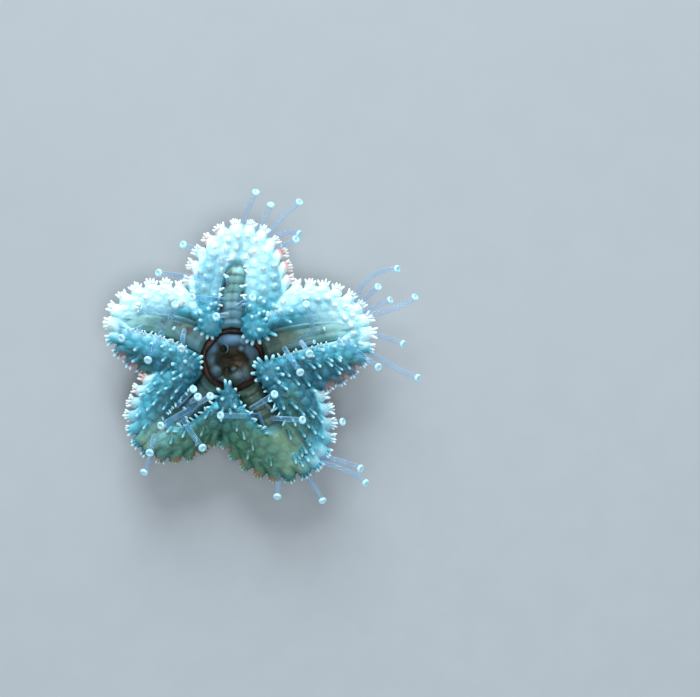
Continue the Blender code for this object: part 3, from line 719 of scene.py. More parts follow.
@functools.lru_cache(maxsize=1)
def body_grid(plate_pitch, plate_height, knob_pitch, knob_height):
    """The skin as a grid, with numbers for its colours, its painted light and shade, and for what
    stands on it.

    Each point of the plain form moves along its normal by the relief of the plate or the edge
    knob that it is on.
    """
    half, across = grid_shares()
    arm = ARM_OF[half]
    plain = plain_form(half, across)
    points, over, top_rho = plain["points"], plain["over"], plain["top_rho"]
    normals, shape = grid_normals(points), points.shape[:2]
    rho = np.hypot(points[..., 0], points[..., 1])
    is_back, is_top, furrow, middle = (np.zeros(shape) for _ in range(4))
    is_back[BACK] = is_top[TOP] = furrow[WELL] = 1.0

    phase, counts = edge_knobs(plain["edge"], knob_pitch)
    within, knob, gap = edge_relief(phase, over)
    near_edge = smooth((1.5 - np.abs(over)) / 0.5)
    plates, aways, numbers, aside = plate_fields(half, across, plain, plate_pitch)
    shut = closed(arm, top_rho)
    climb = (1 + across / wall_share(half, top_rho)) / (1 + 0.55 * SOFT_WALLS[half])
    furrow[TOP] = (1 - smooth(climb)) * (1 - shut)
    shade = polar_shade(grid_normals(points), points)
    middle[TOP] = np.exp(-(((aside + groove_width(arm, top_rho) / 2) / 1.1) ** 2)) * shut
    # The olive tint beside closed grooves fades where the painted light is pale.
    middle *= 1.05 - shade

    relief = plate_height * (plates - 0.35) * (1 - near_edge) * (1 - furrow)
    relief *= (0.62 - 0.25 * shade) * (1 - 0.7 * greenness(points))
    relief[WELL] = 0.0
    relief[BACK] *= 0.5
    relief += knob_height * (0.12 * knob * (over > 0) - gap)
    points = points + normals * relief[..., None]

    spots = np.random.default_rng(11).uniform(0, 1, (10, 20))[half, np.floor(phase).astype(int)]
    # Painted light: the edge is painted paler where it faces the key softbox, and flesh that slopes
    # into a soft groove is painted paler over its shade.
    lit = smooth((plain["out"][:, 1] + 0.8) / 0.8)
    low = smooth((-5.5 - points[..., 1]) / 2.5) * (1 - lit)
    side_light = lit * (0.95 - 0.3 * smooth(-points[..., 1] / 5.0))
    pale = shade + near_edge * (np.maximum(shade, side_light) - shade)
    slope = SOFT_WALLS[half] * smooth((across + 1.0) / 0.5) * smooth((0.45 - across) / 0.5)
    pale = np.clip(pale + 0.42 * slope * smooth((rho - 4.5) / 2.0) * is_top, 0, 1)
    run = np.linalg.norm(np.diff(points, axis=0), axis=-1).cumsum(axis=0)
    run = np.concatenate([np.zeros((1, shape[1])), run])
    return {
        "points": points, "normals": grid_normals(points), "sheet": unwrap(points, run),
        "rho": rho, "half": np.broadcast_to(half, shape),
        "across": np.broadcast_to(across, shape), "top": is_top, "back": is_back,
        "plate": plates * (1 - 0.5 * is_top) + 0.32 * is_top * (1 - furrow),
        "away": aways, "number": numbers, "edge": near_edge, "knob": knob, "furrow": furrow,
        "middle": middle, "pale": pale, "green": greenness(points),
        "cream": bells(points, CREAM_PLACES).clip(0, 1) * is_top * (1 - furrow),
        "warm": warm_places(points, over, within, spots, low),
        "out": plain["out"], "counts": counts, "phase": phase,
    }


def greenness(points):
    """How green the dark flesh is: a flat-topped bell between the two lower arms."""
    x, y = points[..., 0], points[..., 1]
    return np.exp(-(((x + 0.3) / 7.0) ** 4) - ((y + 8.4) / 3.6) ** 4)


def polar_shade(normals, points):
    """How pale the flesh is, from 0 to 1: mostly painted light from the key softbox, partly the
    flesh's own tone.

    It grows with y and with how far the skin faces the first arm, on the key softbox's side, as
    painted light, and is less round the mouth, as painted shade. The bell curves of the paler
    places are added.
    """
    x, y = points[..., 0], points[..., 1]
    level = smooth((y + 5.0) / 10.5)
    # Painted light: paler up the frame and where the skin faces the key softbox.
    shade = 0.02 + 0.5 * level + 0.75 * normals[..., 1]
    shade = shade * (1 - 0.45 * np.exp(-((np.hypot(x, y) / 4.9) ** 4)))
    return np.clip(shade + bells(points, TONE_AND_LIGHT_PLACES), 0, 1)


def bells(points, places):
    """Sum of bell curves: x, y, size along x, size along y, and height of each."""
    x, y = points[..., 0], points[..., 1]
    return sum(tall * np.exp(-(((x - at_x) / wide) ** 2) - ((y - at_y) / deep) ** 2)
               for at_x, at_y, wide, deep, tall in places)


def unwrap(points, run):
    """Places on two discs, one for the back and one for the mouth side.

    A point's direction from the disc's middle is its direction from the body's middle, and its
    distance is the length over the skin from that side's middle.
    """
    turn = np.arctan2(points[..., 1], points[..., 0])
    below = run / run[MIDDLE_ROW].max()
    above = (run[-1] - run) / (run[-1] - run[MIDDLE_ROW]).max()
    rows = np.arange(len(points))[:, None]
    far = np.where(rows <= MIDDLE_ROW, below, above) * SHEET
    centre = np.where(rows <= MIDDLE_ROW, 0.75, 0.25)
    return np.stack([centre + far / 2 * np.cos(turn), 0.5 + far * np.sin(turn)], axis=-1)


def body(context):
    """The skin's grid at the sizes that are set."""
    sizes = context.scene.starfish.skin
    return body_grid(sizes.plate_pitch / MM, sizes.plate_height / MM, sizes.knob_pitch / MM,
                     sizes.knob_height / MM)


# Spinelets


def spinelets(name, roots, ahead, length, radius, sheet, tones, bend=0.0, blunt=0.0, seed=0):
    """Object of N small round-tipped spines.

    A point is the root, plus the way ahead times a share of the length, plus an upward bend that
    grows with the share's square, plus a circle whose radius narrows along the spine. sheet is
    the roots' places on the coat's unwrap, where each spine is a small disc with its tip in the
    middle. tones holds the numbers that its material reads. blunt is 0 for a cone, 1 for a peg.
    """
    count, sides = len(roots), SPINELET_SIDES
    shares, cone, peg, flat = SPINELET_RINGS.T
    widths = cone + peg * blunt
    rng = np.random.default_rng(seed)
    aside, other = square_to(ahead)
    angles = np.linspace(0, 2 * np.pi, sides, endpoint=False) + rng.uniform(0, 1, (count, 1))
    circle = aside[:, None] * np.cos(angles)[..., None] + other[:, None] * np.sin(angles)[..., None]
    length, radius = np.broadcast_to(length, count), np.broadcast_to(radius, count)
    bent = np.maximum(shares, 0) ** 2 * bend
    middles = roots[:, None] + ahead[:, None] * (length[:, None] * shares)[..., None]
    middles = middles + UP * (length[:, None] * bent)[..., None]
    rings = middles[:, :, None] + circle[:, None] * (radius[:, None] * widths)[:, :, None, None]
    first = middles[:, 0]
    last = roots + (ahead + UP * bend) * length[:, None]
    ways = np.concatenate([np.repeat(np.clip(shares, 0, 1), sides), [0.0, 1.0]])
    grown = np.repeat(flat * PATCH, sides)
    spread = np.stack([np.cos(angles), np.sin(angles)], axis=-1)
    spread = np.tile(spread, (1, len(shares), 1)) * grown[:, None]
    spread = np.concatenate([spread, np.zeros((count, 2, 2))], axis=1)
    places = (sheet[:, None] + spread).reshape(-1, 2)
    each = len(shares) * sides + 2

    def patches(corners):
        """The unwrap's places. A base's middle takes that of the corner before it."""
        found = places[corners]
        base = np.flatnonzero(corners % each == each - 2)
        found[base] = found[base - 1]
        return found

    values = {key: np.repeat(numbers, each) for key, numbers in tones.items()}
    values["tip"] = np.tile(ways, (count, 1))
    return ring_mesh(name, rings, first, last, values, patches)


def plate_middles(grid, chosen):
    """Row and column of the point nearest each chosen plate's middle."""
    flat = np.flatnonzero(chosen & (grid["away"] < 0.16))
    order = np.lexsort((grid["away"].ravel()[flat], grid["number"].ravel()[flat]))
    flat = flat[order]
    _, first = np.unique(grid["number"].ravel()[flat], return_index=True)
    return np.unravel_index(flat[first], grid["away"].shape)


def plan_ways(points, half):
    """Unit vectors in plan outwards from the mouth, and sideways towards the arm's groove."""
    out = unit(points * (1.0, 1.0, 0.0))
    return out, -np.cross(UP, out) * SIDE_OF[half][:, None]


def gathered(grid, rows, columns):
    """Points, normals and places on the unwrap at the given places of the grid."""
    return tuple(grid[key][rows, columns] for key in ("points", "normals", "sheet"))


def tones_at(grid, rows, columns, paler=0.0, warmth=1.0):
    """Numbers for the colours of spinelets that stand on the skin, with its painted light lifted by
    paler.
    """
    found = {key: grid[key][rows, columns] for key in ("pale", "green", "warm")}
    found["pale"] = np.clip(found["pale"] + paler, 0, 1)
    found["warm"] = found["warm"] * warmth
    return found


def edge_places(grid):
    """Row, column and knob middle's column of every spinelet on the edge knobs."""
    rows, columns, middles = [], [], []
    for half in range(10):
        tip = (2 * ARM_OF[half] + 1) * HALF_COLUMNS
        line = tip + SIDE_OF[half] * np.arange(HALF_COLUMNS + 1)
        phase = grid["phase"][line % len(grid["phase"])].copy()
        phase[-1] = grid["counts"][half]
        knobs = np.arange(grid["counts"][half]) + 0.5
        for rise, shares in KNOB_TIERS:
            row = BACK_ROWS + round((rise + EDGE_SWING) / (2 * EDGE_SWING) * (EDGE_ROWS - 1))
            wanted = (knobs[:, None] + np.array(shares)).ravel()
            steps = np.round(np.interp(wanted, phase, np.arange(len(line)))).astype(int)
            heart = np.round(np.interp(np.repeat(knobs, len(shares)), phase, np.arange(len(line))))
            rows.append(np.full(len(steps), row))
            columns.append(line[steps] % len(grid["phase"]))
            middles.append(line[heart.astype(int)] % len(grid["phase"]))
    return np.concatenate(rows), np.concatenate(columns), np.concatenate(middles)


# Jaws


def jaw_frame(index):
    """Middle of a jaw in plan, and the unit vectors towards the mouth and across."""
    after = (index + 1) % 5
    far = JAW_MIDDLE[index]
    deg = (direction(2 * index + 1, 0.0, far)
           + direction(2 * after, 0.0, far) + (360.0 if after == 0 else 0.0)) / 2
    middle = polar(far, deg)
    inwards = -unit(middle)
    return middle, inwards, np.cross(UP, inwards)


def jaw_point(index, turn, rise):
    """Point of a jaw's lobe: an ellipse in plan, narrower towards the mouth, and a flat dome.

    Its rim swells at each spinelet, by a bell curve of the angle between them.
    """
    middle, inwards, across = jaw_frame(index)
    squeeze = np.abs(np.cos(rise)) ** 0.55
    run = np.cos(turn)
    reach = np.where(run > 0, JAW_IN, JAW_OUT) * np.sign(run) * np.abs(run) ** 0.85
    width = (JAW_WIDTH[index] - 0.36 * run) * np.sin(turn)
    tips = np.array(JAW_TIPS[index]) - middle[:2]
    toward = np.arctan2(tips @ across[:2], tips @ inwards[:2])
    between = np.arctan2(width, reach)[..., None] - toward
    between = (between + np.pi) % (2 * np.pi) - np.pi
    boss = np.exp(-((between / 0.17) ** 2)).sum(axis=-1) * np.cos(rise) ** 2
    reach, width = reach * (1 + 0.22 * boss), width * (1 + 0.22 * boss)
    z_mid, z_half = (JAW_LOW_Z + JAW_HIGH_Z) / 2, (JAW_HIGH_Z - JAW_LOW_Z) / 2
    tall = np.sign(np.sin(rise)) * np.abs(np.sin(rise)) ** 0.8 * z_half
    rng = np.random.default_rng(90 + index)
    lumps = rng.uniform((-1.1, -1.0, 0.14), (0.8, 1.0, 0.3), (JAW_LUMPS, 3))
    far = np.hypot((reach * squeeze)[..., None] - lumps[:, 0],
                   (width * squeeze)[..., None] - lumps[:, 1])
    lump = 0.22 * np.exp(-((far / lumps[:, 2]) ** 2)).max(axis=-1) * (tall > 0)
    z = z_mid + tall + lump - 0.12 * squeeze**2 * np.maximum(run, 0) ** 2 * (tall > 0)
    plan = middle + inwards * (reach * squeeze)[..., None] + across * (width * squeeze)[..., None]
    return plan + UP * z[..., None]


def jaw_tones(points, paler):
    """Numbers for a jaw's colours: paler towards the upper arms as painted light from the key
    softbox, and greener below.
    """
    pale = np.clip(0.02 + 0.36 * smooth((points[:, 1] + 4.0) / 9.0) + paler, 0, 1)
    return {"pale": pale, "green": greenness(points), "warm": 0 * pale}


def jaw_spinelets(index, rng):
    """Roots, directions and lengths of the spinelets round a jaw and of those on its top."""
    middle, inwards, across = jaw_frame(index)
    tips = np.array(JAW_TIPS[index])
    tips = np.concatenate([tips, rng.uniform(*JAW_TIP_Z, (len(tips), 1))], axis=1)
    ahead = unit(tips - middle - UP * JAW_ROOT_Z)
    size = rng.uniform(1.0, 1.15, len(tips))
    tops = inwards * JAW_TOPS[:, :1] + across * JAW_TOPS[:, 1:]
    top = middle + tops + UP * (JAW_HIGH_Z - 0.12)
    raised = unit(UP * 0.8 + tops * 1.1 - inwards * 0.3)
    sizes = np.concatenate([size, np.full(len(tops), 0.75)])
    return tips, np.concatenate([ahead, raised]), sizes, top


# Grooves


def groove_fields(arm, rho, side, pitch):
    """Numbers for a groove's colours at a distance out and a place across, 1 clockwise.

    Its ribs are the rectified sine of the distance, bent a little towards the sides.
    """
    bar = np.abs(np.sin(np.pi * (rho - MOUTH_REACH + 0.03) / pitch + 0.35 * side**2)) ** 0.75
    end = strip_end(arm)
    spot = [strength * (own == arm) * np.exp(-(((rho - far) / size) ** 2
                                               + ((side - beside) / size / 0.8) ** 2) ** 2)
            for own, far, beside, size, strength in BROWN_SPOTS]
    fields = {
        "bar": 1 - RIBS[arm] * (1 - bar),
        "lively": 1 - DIM[arm] * (1 - 0.5 * smooth((rho - 5.5) / 2.5)),
        "inner": GREY[arm] * (1 - smooth((rho - 3.9) / (1.4 + 1.2 * (arm == 0)))),
        "olive": OLIVE[arm] * (1 - smooth((rho - 4.3) / 3.2)),
        "ending": smooth((rho - end + 2.6) / 2.2) * PALE_END[arm],
        "deep": DEEP[arm] * (1 - 0.6 * smooth((rho - 4.5) / 3.0)),
        "spot": np.max(spot, axis=0),
        "streak": 0.5 + 0.5 * np.sin(8 * side + 1.5 * np.sin(0.9 * rho + arm)),
    }
    return {key: value + 0 * rho * side for key, value in fields.items()}


def groove_rings(arm, pitch, rib_height):
    """Rings of a groove's strip along its floor, and the numbers for its colours.

    A ring is a low arch: its place across is a cosine of the turn to the power 0.8, and its
    height a sine to the power 0.35. The top follows the ribs, falls to the sides by the place
    across squared, and has a thin hollow along its middle. Square roots of the distance to either
    end bring the strip down to its floor.
    """
    turn = np.linspace(0, 2 * np.pi, STRIP_SIDES, endpoint=False)
    end = strip_end(arm)
    rho = np.linspace(MOUTH_REACH + 0.02, end, STRIP_ROWS)[:, None]
    ends = np.minimum(1, (rho - rho[0] + 0.04) / 0.35) ** 0.5
    ends = ends * np.clip((end - rho + 0.04) / SINK[arm], 0, 1) ** 0.5
    side = -np.sign(np.cos(turn)) * np.abs(np.cos(turn)) ** 0.8
    half_width = groove_width(arm, rho) / 2 * (1 - WALL_SHARE * 0.55)
    deg = axis_deg(arm, rho) - np.degrees(np.arctan(side * half_width / rho))
    fields = groove_fields(arm, rho, side, pitch)
    seam = np.exp(-((side / 0.2) ** 2))
    soft = np.where(side > 0, SOFT_WALLS[2 * arm], SOFT_WALLS[2 * arm + 1])
    top = STRIP_RISE + rib_height * (fields["bar"] - 0.4) - 0.35 * (1 - soft) * side**2
    top = top - 0.12 * seam
    top = top + RAISED[arm] * smooth((rho - 3.2) / 1.5) * smooth((end - rho) / SINK[arm])
    shallow = np.minimum(1.0, groove_depth(arm, rho) / 1.2)
    height = np.where(np.sin(turn) >= 0, top * shallow * np.abs(np.sin(turn)) ** 0.35,
                      -0.1 * np.abs(np.sin(turn)))
    # Painted shade: the strip's underside and the hollow along its middle take the dark between the
    # ribs.
    fields["bar"] = fields["bar"] * (np.sin(turn) > 0) * (1 - 0.35 * seam)
    return polar(rho, deg, groove_floor(arm, rho) + height * ends), fields


# Tube feet


def bezier(controls, share):
    """Points and unit tangents of smooth curves through four controls each, (N, 4, 3)."""
    t = share[None, :, None]
    a, b, c, d = (controls[:, None, i] for i in range(4))
    point = (1 - t) ** 3 * a + 3 * t * (1 - t) ** 2 * b + 3 * t * t * (1 - t) * c + t**3 * d
    slope = (1 - t) ** 2 * (b - a) + 2 * t * (1 - t) * (c - b) + t * t * (d - c)
    return point, unit(slope)


def foot_controls():
    """Four controls of each tube foot's curve, as in the frame."""
    found = []
    for root_x, root_y, end_x, end_y, end_z, bow in EDGE_FEET:
        lift = tip_lift(math.hypot(root_x, root_y))
        root = np.array((root_x, root_y, EDGE_Z + lift + 0.15))
        run = np.array((end_x, end_y, end_z)) - root
        aside = np.cross(UP, run) * bow * 0.5
        found.append((root, root + run * 0.35 + aside, root + run * 0.72 + aside, root + run))
    for arm, rho, side, end_x, end_y, end_z in GROOVE_FEET:
        floor = float(groove_floor(arm, rho))
        root = polar(rho, axis_deg(arm, rho) + side * math.degrees(0.3 / rho), floor + 0.45)
        end = np.array((end_x, end_y, end_z))
        over = (root * 0.7 + end * 0.3) * (1, 1, 0) + UP * FOOT_OVER_Z
        lean = end * 0.65 + (root * (1, 1, 0) + UP * end_z) * 0.35 - UP * 0.2
        found.append((root, over, lean, end))
    return np.array(found)


def tube_feet(name, controls, stalk, sucker, turn_up):
    """Object of N tube feet.

    Each is a circle carried along a smooth curve. Past the curve's end it turns upwards and
    widens into a rounded sucker, whose face is dished round its middle.
    """
    share = np.linspace(0, 1, FOOT_ROWS)
    point, ahead = bezier(controls, share)
    step = np.linspace(0, 1, BULB_ROWS + 1)[1:]
    facing = unit(ahead[:, -1:] + UP * turn_up[:, None, None] * smooth(step / 0.6)[:, None])
    bulb = point[:, -1:] + np.cumsum(facing, axis=1) * (SUCKER_LENGTH * sucker / BULB_ROWS)
    swell = stalk + (sucker - stalk) * smooth((step - 0.15) / 0.5)
    swell = swell * np.sqrt(np.clip(1 - np.maximum(0, step - 0.72) ** 2 * 5, 0.2, 1))
    face, proud, paler = SUCKER_FACE.T
    lip = bulb[:, -1:] + facing[:, -1:] * (proud * sucker)[:, None]
    middles = np.concatenate([point, bulb, lip], axis=1)
    ways = np.concatenate([ahead, facing, np.repeat(facing[:, -1:], len(face), axis=1)], axis=1)
    wall = stalk * (1.12 - 0.12 * smooth(share / 0.3)) * (1 + 0.03 * np.sin(share * 40))
    radii = np.concatenate([wall, swell, face * sucker])
    level = unit(np.cross(UP, controls[:, 3] - controls[:, 0]))[:, None]
    aside = unit(level - ways * (ways * level).sum(axis=-1, keepdims=True))
    other = np.cross(ways, aside)
    turn = np.linspace(0, 2 * np.pi, FOOT_SIDES, endpoint=False)[:, None]
    circle = aside[:, :, None] * np.cos(turn) + other[:, :, None] * np.sin(turn)
    rings = middles[:, :, None] + circle * radii[:, None, None]
    pole = middles[:, -1] - ways[:, -1] * 0.04 * sucker
    blend = np.concatenate([np.zeros(len(share)), smooth(step / 0.5), paler])
    blend = np.concatenate([np.repeat(blend, FOOT_SIDES), [0.0, 0.6]])
    values = {"sucker": np.tile(blend, (len(controls), 1))}
    return ring_mesh(name, rings, middles[:, 0], pole, values)


# Mouth


def folds(x, y, places):
    """Bells of the mouth's skin, by the cube of the distance, so that their tops are flat."""
    return [tall * np.exp(-((((x - at_x) / wide) ** 2 + ((y - at_y) / deep) ** 2) ** 1.5))
            for at_x, at_y, wide, deep, tall in places]


def mouth_rings(low, high, reach):
    """Rings of the mouth's skin from below to its middle, and the numbers for its colours.

    It is a dome, the square root of 1 less the sixth power of the share of the way out, with a
    wavy rim. The highest of the lobes' bells and of a thin curled fold is added, and the hollows'
    bells are taken off.
    """
    turn = np.linspace(0, 2 * np.pi, MOUTH_SIDES, endpoint=False)
    under = polar(np.array((reach * 0.6, reach * 0.9))[:, None], np.degrees(turn), low)
    share = np.linspace(1.0, 0.03, MOUTH_ROWS)[:, None]
    wave = 1 + 0.035 * np.sin(7 * turn) + 0.02 * np.sin(4 * turn + 1.0)
    rho = share * reach * (1 - 0.05 * share**2) * (1 + (wave - 1) * share**3)
    x, y = rho * np.cos(turn), rho * np.sin(turn)
    dome = (1 - share**6) ** 0.5
    height = low + 0.25 + (high - 0.62 - low - 0.25) * dome
    fold = np.max(folds(x, y, MOUTH_LOBES), axis=0)
    at_x, at_y, size, width, tall = MOUTH_COIL
    ringed = np.hypot(x - at_x, y - at_y) - size
    bend = 0.5 + 0.5 * np.cos(np.arctan2(y - at_y, x - at_x) - 0.3)
    fold = np.maximum(fold, tall * bend * np.exp(-((ringed / width) ** 2)))
    fold = fold - sum(folds(x, y, MOUTH_HOLLOWS))
    height = np.clip(height + 1.3 * fold * dome, low + 0.1, high - 0.02)
    below = np.zeros((len(under), len(turn)))
    fields = {
        "fold": np.concatenate([below, fold]),
        "rim": np.concatenate([below + 1, smooth((share - 0.9) / 0.1) + 0 * x]),
        # Painted light: the folds grow paler towards +y, the key softbox's side.
        "lit": np.concatenate([below, smooth((y + 0.4) / 2.6)]),
        "core": np.concatenate([below,
                                np.exp(-(((x - 0.2) / 1.35) ** 2 + (y / 1.1) ** 2) ** 2)]),
    }
    return np.concatenate([under, np.stack([x, y, height], axis=-1)]), fields


# Shaders. A group's colours are settings, and its sockets have their names.

VALUE, COLOUR = "NodeSocketFloat", "NodeSocketColor"
PLAIN = (0.5, 0.5, 0.5, 1.0)
BODY_TONES = ("green_hollow", "green_top", "dark_hollow", "middle_hollow", "pale_hollow",
              "dark_top", "middle_top", "pale_top", "blush", "ochre")
GROOVE_TONES = ("groove", "groove_cream", "groove_end", "groove_olive", "groove_blue",
                "groove_deep", "groove_dark", "groove_spot")


def label(name):
    """A setting's name as a socket's."""
    return name.replace("_", " ").capitalize()


def put(tree, kind, sockets=None, **settings):
    """Adds a node, changes its settings and fills its sockets with links or plain values."""
    made = tree.nodes.new(kind)
    for key, value in settings.items():
        setattr(made, key, value)
    for key, value in (sockets or {}).items():
        if isinstance(value, bpy.types.NodeSocket):
            tree.links.new(value, made.inputs[key])
        else:
            made.inputs[key].default_value = value
    return made


def mixed(tree, factor, low, high):
    """Socket of a colour between two others."""
    made = put(tree, "ShaderNodeMix", {0: factor, 6: low, 7: high}, data_type="RGBA")
    return made.outputs[2]


def ranged(tree, value, low, high, start=0.0, end=1.0):
    """Socket of a value eased from one range into another."""
    sockets = {"Value": value, 1: low, 2: high, 3: start, 4: end}
    return put(tree, "ShaderNodeMapRange", sockets, interpolation_type="SMOOTHSTEP").outputs[0]


def worked(tree, operation, first, second):
    """Socket of a sum, product or other working of two values."""
    return put(tree, "ShaderNodeMath", {0: first, 1: second}, operation=operation).outputs[0]


def numbered(tree, name):
    """Socket of a value that the mesh carries at its points."""
    return put(tree, "ShaderNodeAttribute", attribute_name=name).outputs["Fac"]


def new_group(name, wanted, given):
    """Shader node group, its input sockets and its end node."""
    group = bpy.data.node_groups.new(name, "ShaderNodeTree")
    for title, kind, value in wanted:
        socket = group.interface.new_socket(title, in_out="INPUT", socket_type=kind)
        socket.default_value = value
    for title, kind in given:
        group.interface.new_socket(title, in_out="OUTPUT", socket_type=kind)
    start = group.nodes.new("NodeGroupInput")
    end = group.nodes.new("NodeGroupOutput")
    return group, start.outputs, end


def grouped(tree, name, sockets):
    """Output sockets of a node group with its inputs filled. Its first use builds it."""
    group = bpy.data.node_groups.get(name) or GROUPS[name](name)
    return put(tree, "ShaderNodeGroup", sockets, node_tree=group).outputs


def mottle_group(name):
    """Uneven patches, from 0 to 1, at a size given as patches a metre."""
    group, given, end = new_group(
        name,
        (("Scale", VALUE, 900.0), ("Low", VALUE, 0.4), ("High", VALUE, 0.6)),
        (("Mask", VALUE),),
    )
    where = put(group, "ShaderNodeTexCoord").outputs["Object"]
    noise = put(group, "ShaderNodeTexNoise", {"Vector": where, "Scale": given["Scale"],
                                              "Detail": 3.0, "Roughness": 0.6})
    mask = ranged(group, noise.outputs["Fac"], given["Low"], given["High"])
    group.links.new(mask, end.inputs["Mask"])
    return group


def wet_grain_group(name):
    """Height of fine pimples over soft unevenness, for moist skin."""
    group, given, end = new_group(
        name,
        (("Scale", VALUE, 5000.0), ("Pimples", VALUE, 0.5)),
        (("Height", VALUE),),
    )
    where = put(group, "ShaderNodeTexCoord").outputs["Object"]
    noise = put(group, "ShaderNodeTexNoise", {"Vector": where, "Scale": given["Scale"],
                                              "Detail": 4.0, "Roughness": 0.55})
    cells = put(group, "ShaderNodeTexVoronoi", {"Vector": where, "Scale": given["Scale"]},
                feature="SMOOTH_F1")
    domes = ranged(group, cells.outputs["Distance"], 0.1, 0.6, 1.0, 0.0)
    raised = worked(group, "MULTIPLY", domes, given["Pimples"])
    group.links.new(worked(group, "ADD", noise.outputs["Fac"], raised), end.inputs["Height"])
    return group


def body_tone_group(name):
    """The body's colour, from its shaded parts to its pale ones as painted light and shade, and
    from hollows to tops, the hollows darker as painted shade.
    """
    group, given, end = new_group(
        name,
        [(title, VALUE, 0.5) for title in ("Pale", "Height", "Green", "Warm")]
        + [(label(tone), COLOUR, PLAIN) for tone in BODY_TONES],
        (("Colour", COLOUR),),
    )
    dark_hollow = mixed(group, given["Green"], given["Dark hollow"], given["Green hollow"])
    dark_top = mixed(group, given["Green"], given["Dark top"], given["Green top"])
    # Painted light and shade: Pale runs from the shaded tones to the lit ones.
    low, high = (ranged(group, given["Pale"], *ends) for ends in ((0.0, 0.55), (0.45, 1.0)))
    hollow = mixed(group, low, dark_hollow, given["Middle hollow"])
    hollow = mixed(group, high, hollow, given["Pale hollow"])
    top = mixed(group, low, dark_top, given["Middle top"])
    top = mixed(group, high, top, given["Pale top"])
    # Painted shade: the hollows' tones are darker than the tops'.
    tone = mixed(group, given["Height"], hollow, top)
    blush = mixed(group, given["Green"], given["Blush"], given["Ochre"])
    group.links.new(mixed(group, given["Warm"], tone, blush), end.inputs["Colour"])
    return group


def groove_tone_group(name):
    """A groove's colour: bars, dark between them as painted shade, blue-grey by the mouth, brown
    spots.
    """
    wanted = [(label(tone), COLOUR, PLAIN) for tone in GROOVE_TONES]
    group, given, end = new_group(name, wanted, (("Colour", COLOUR),))
    uneven = worked(group, "ADD", worked(group, "MULTIPLY", numbered(group, "streak"), 0.6),
                    worked(group, "MULTIPLY", mottle(group, 1200.0, 0.35, 0.65), 0.5))
    light = mixed(group, uneven, given["Groove"], given["Groove cream"])
    light = mixed(group, numbered(group, "ending"), light, given["Groove end"])
    light = mixed(group, numbered(group, "olive"), light, given["Groove olive"])
    light = mixed(group, numbered(group, "inner"), light, given["Groove blue"])
    light = mixed(group, numbered(group, "deep"), light, given["Groove deep"])
    # Painted shade: between the ribs the colour turns dark.
    bar = worked(group, "MULTIPLY", ranged(group, numbered(group, "bar"), 0.0, 0.8),
                 numbered(group, "lively"))
    tone = mixed(group, bar, given["Groove dark"], light)
    rough = ranged(group, mottle(group, 1600.0, 0.38, 0.52), 0.0, 1.0, 0.7, 1.0)
    spot = worked(group, "MULTIPLY", numbered(group, "spot"), rough)
    group.links.new(mixed(group, spot, tone, given["Groove spot"]), end.inputs["Colour"])
    return group


GROUPS = {"Mottle": mottle_group, "Wet grain": wet_grain_group, "Body tone": body_tone_group,
          "Groove tone": groove_tone_group}


def new_material(name, colour, rough, grain=None, **constants):
    """Material of one Principled shader.

    colour makes the nodes of its colour. rough is the scale of the patches of its roughness and
    the roughness of the two kinds of patch. grain is the bump's scale, how much of it is pimples,
    and its depth in millimetres.
    """
    made = bpy.data.materials.new(name)
    made.use_nodes = True
    tree = made.node_tree
    shader = tree.nodes["Principled BSDF"]
    tree.links.new(colour(tree), shader.inputs["Base Color"])
    scale, low, high = rough
    patches = ranged(tree, mottle(tree, scale), 0.0, 1.0, low, high)
    tree.links.new(patches, shader.inputs["Roughness"])
    if grain:
        scale, pimples, depth = grain
        height = wet_grain(tree, scale, pimples)
        raised = put(tree, "ShaderNodeBump", {"Height": height, "Distance": depth * MM})
        tree.links.new(raised.outputs["Normal"], shader.inputs["Normal"])
    for key, value in constants.items():
        shader.inputs[key.replace("_", " ")].default_value = value
    return made


def body_tone(tree, colours, height, green=None):
    """Socket of the body's colour at a height between hollows, 0, and tops, 1."""
    return grouped(tree, "Body tone", {
        "Pale": numbered(tree, "pale"), "Height": height, "Warm": numbered(tree, "warm"),
        "Green": numbered(tree, "green") if green is None else green,
        **{label(name): getattr(colours, name) for name in BODY_TONES},
    })["Colour"]


def groove_tone(tree, colours):
    """Socket of the grooves' colour."""
    sockets = {label(name): getattr(colours, name) for name in GROOVE_TONES}
    return grouped(tree, "Groove tone", sockets)["Colour"]


def mottle(tree, scale, low=0.4, high=0.6):
    """Socket of uneven patches, with the range of the noise that is eased into 0 to 1."""
    return grouped(tree, "Mottle", {"Scale": scale, "Low": low, "High": high})["Mask"]


def wet_grain(tree, scale, pimples):
    """Socket of a moist skin's fine height."""
    return grouped(tree, "Wet grain", {"Scale": scale, "Pimples": pimples})["Height"]


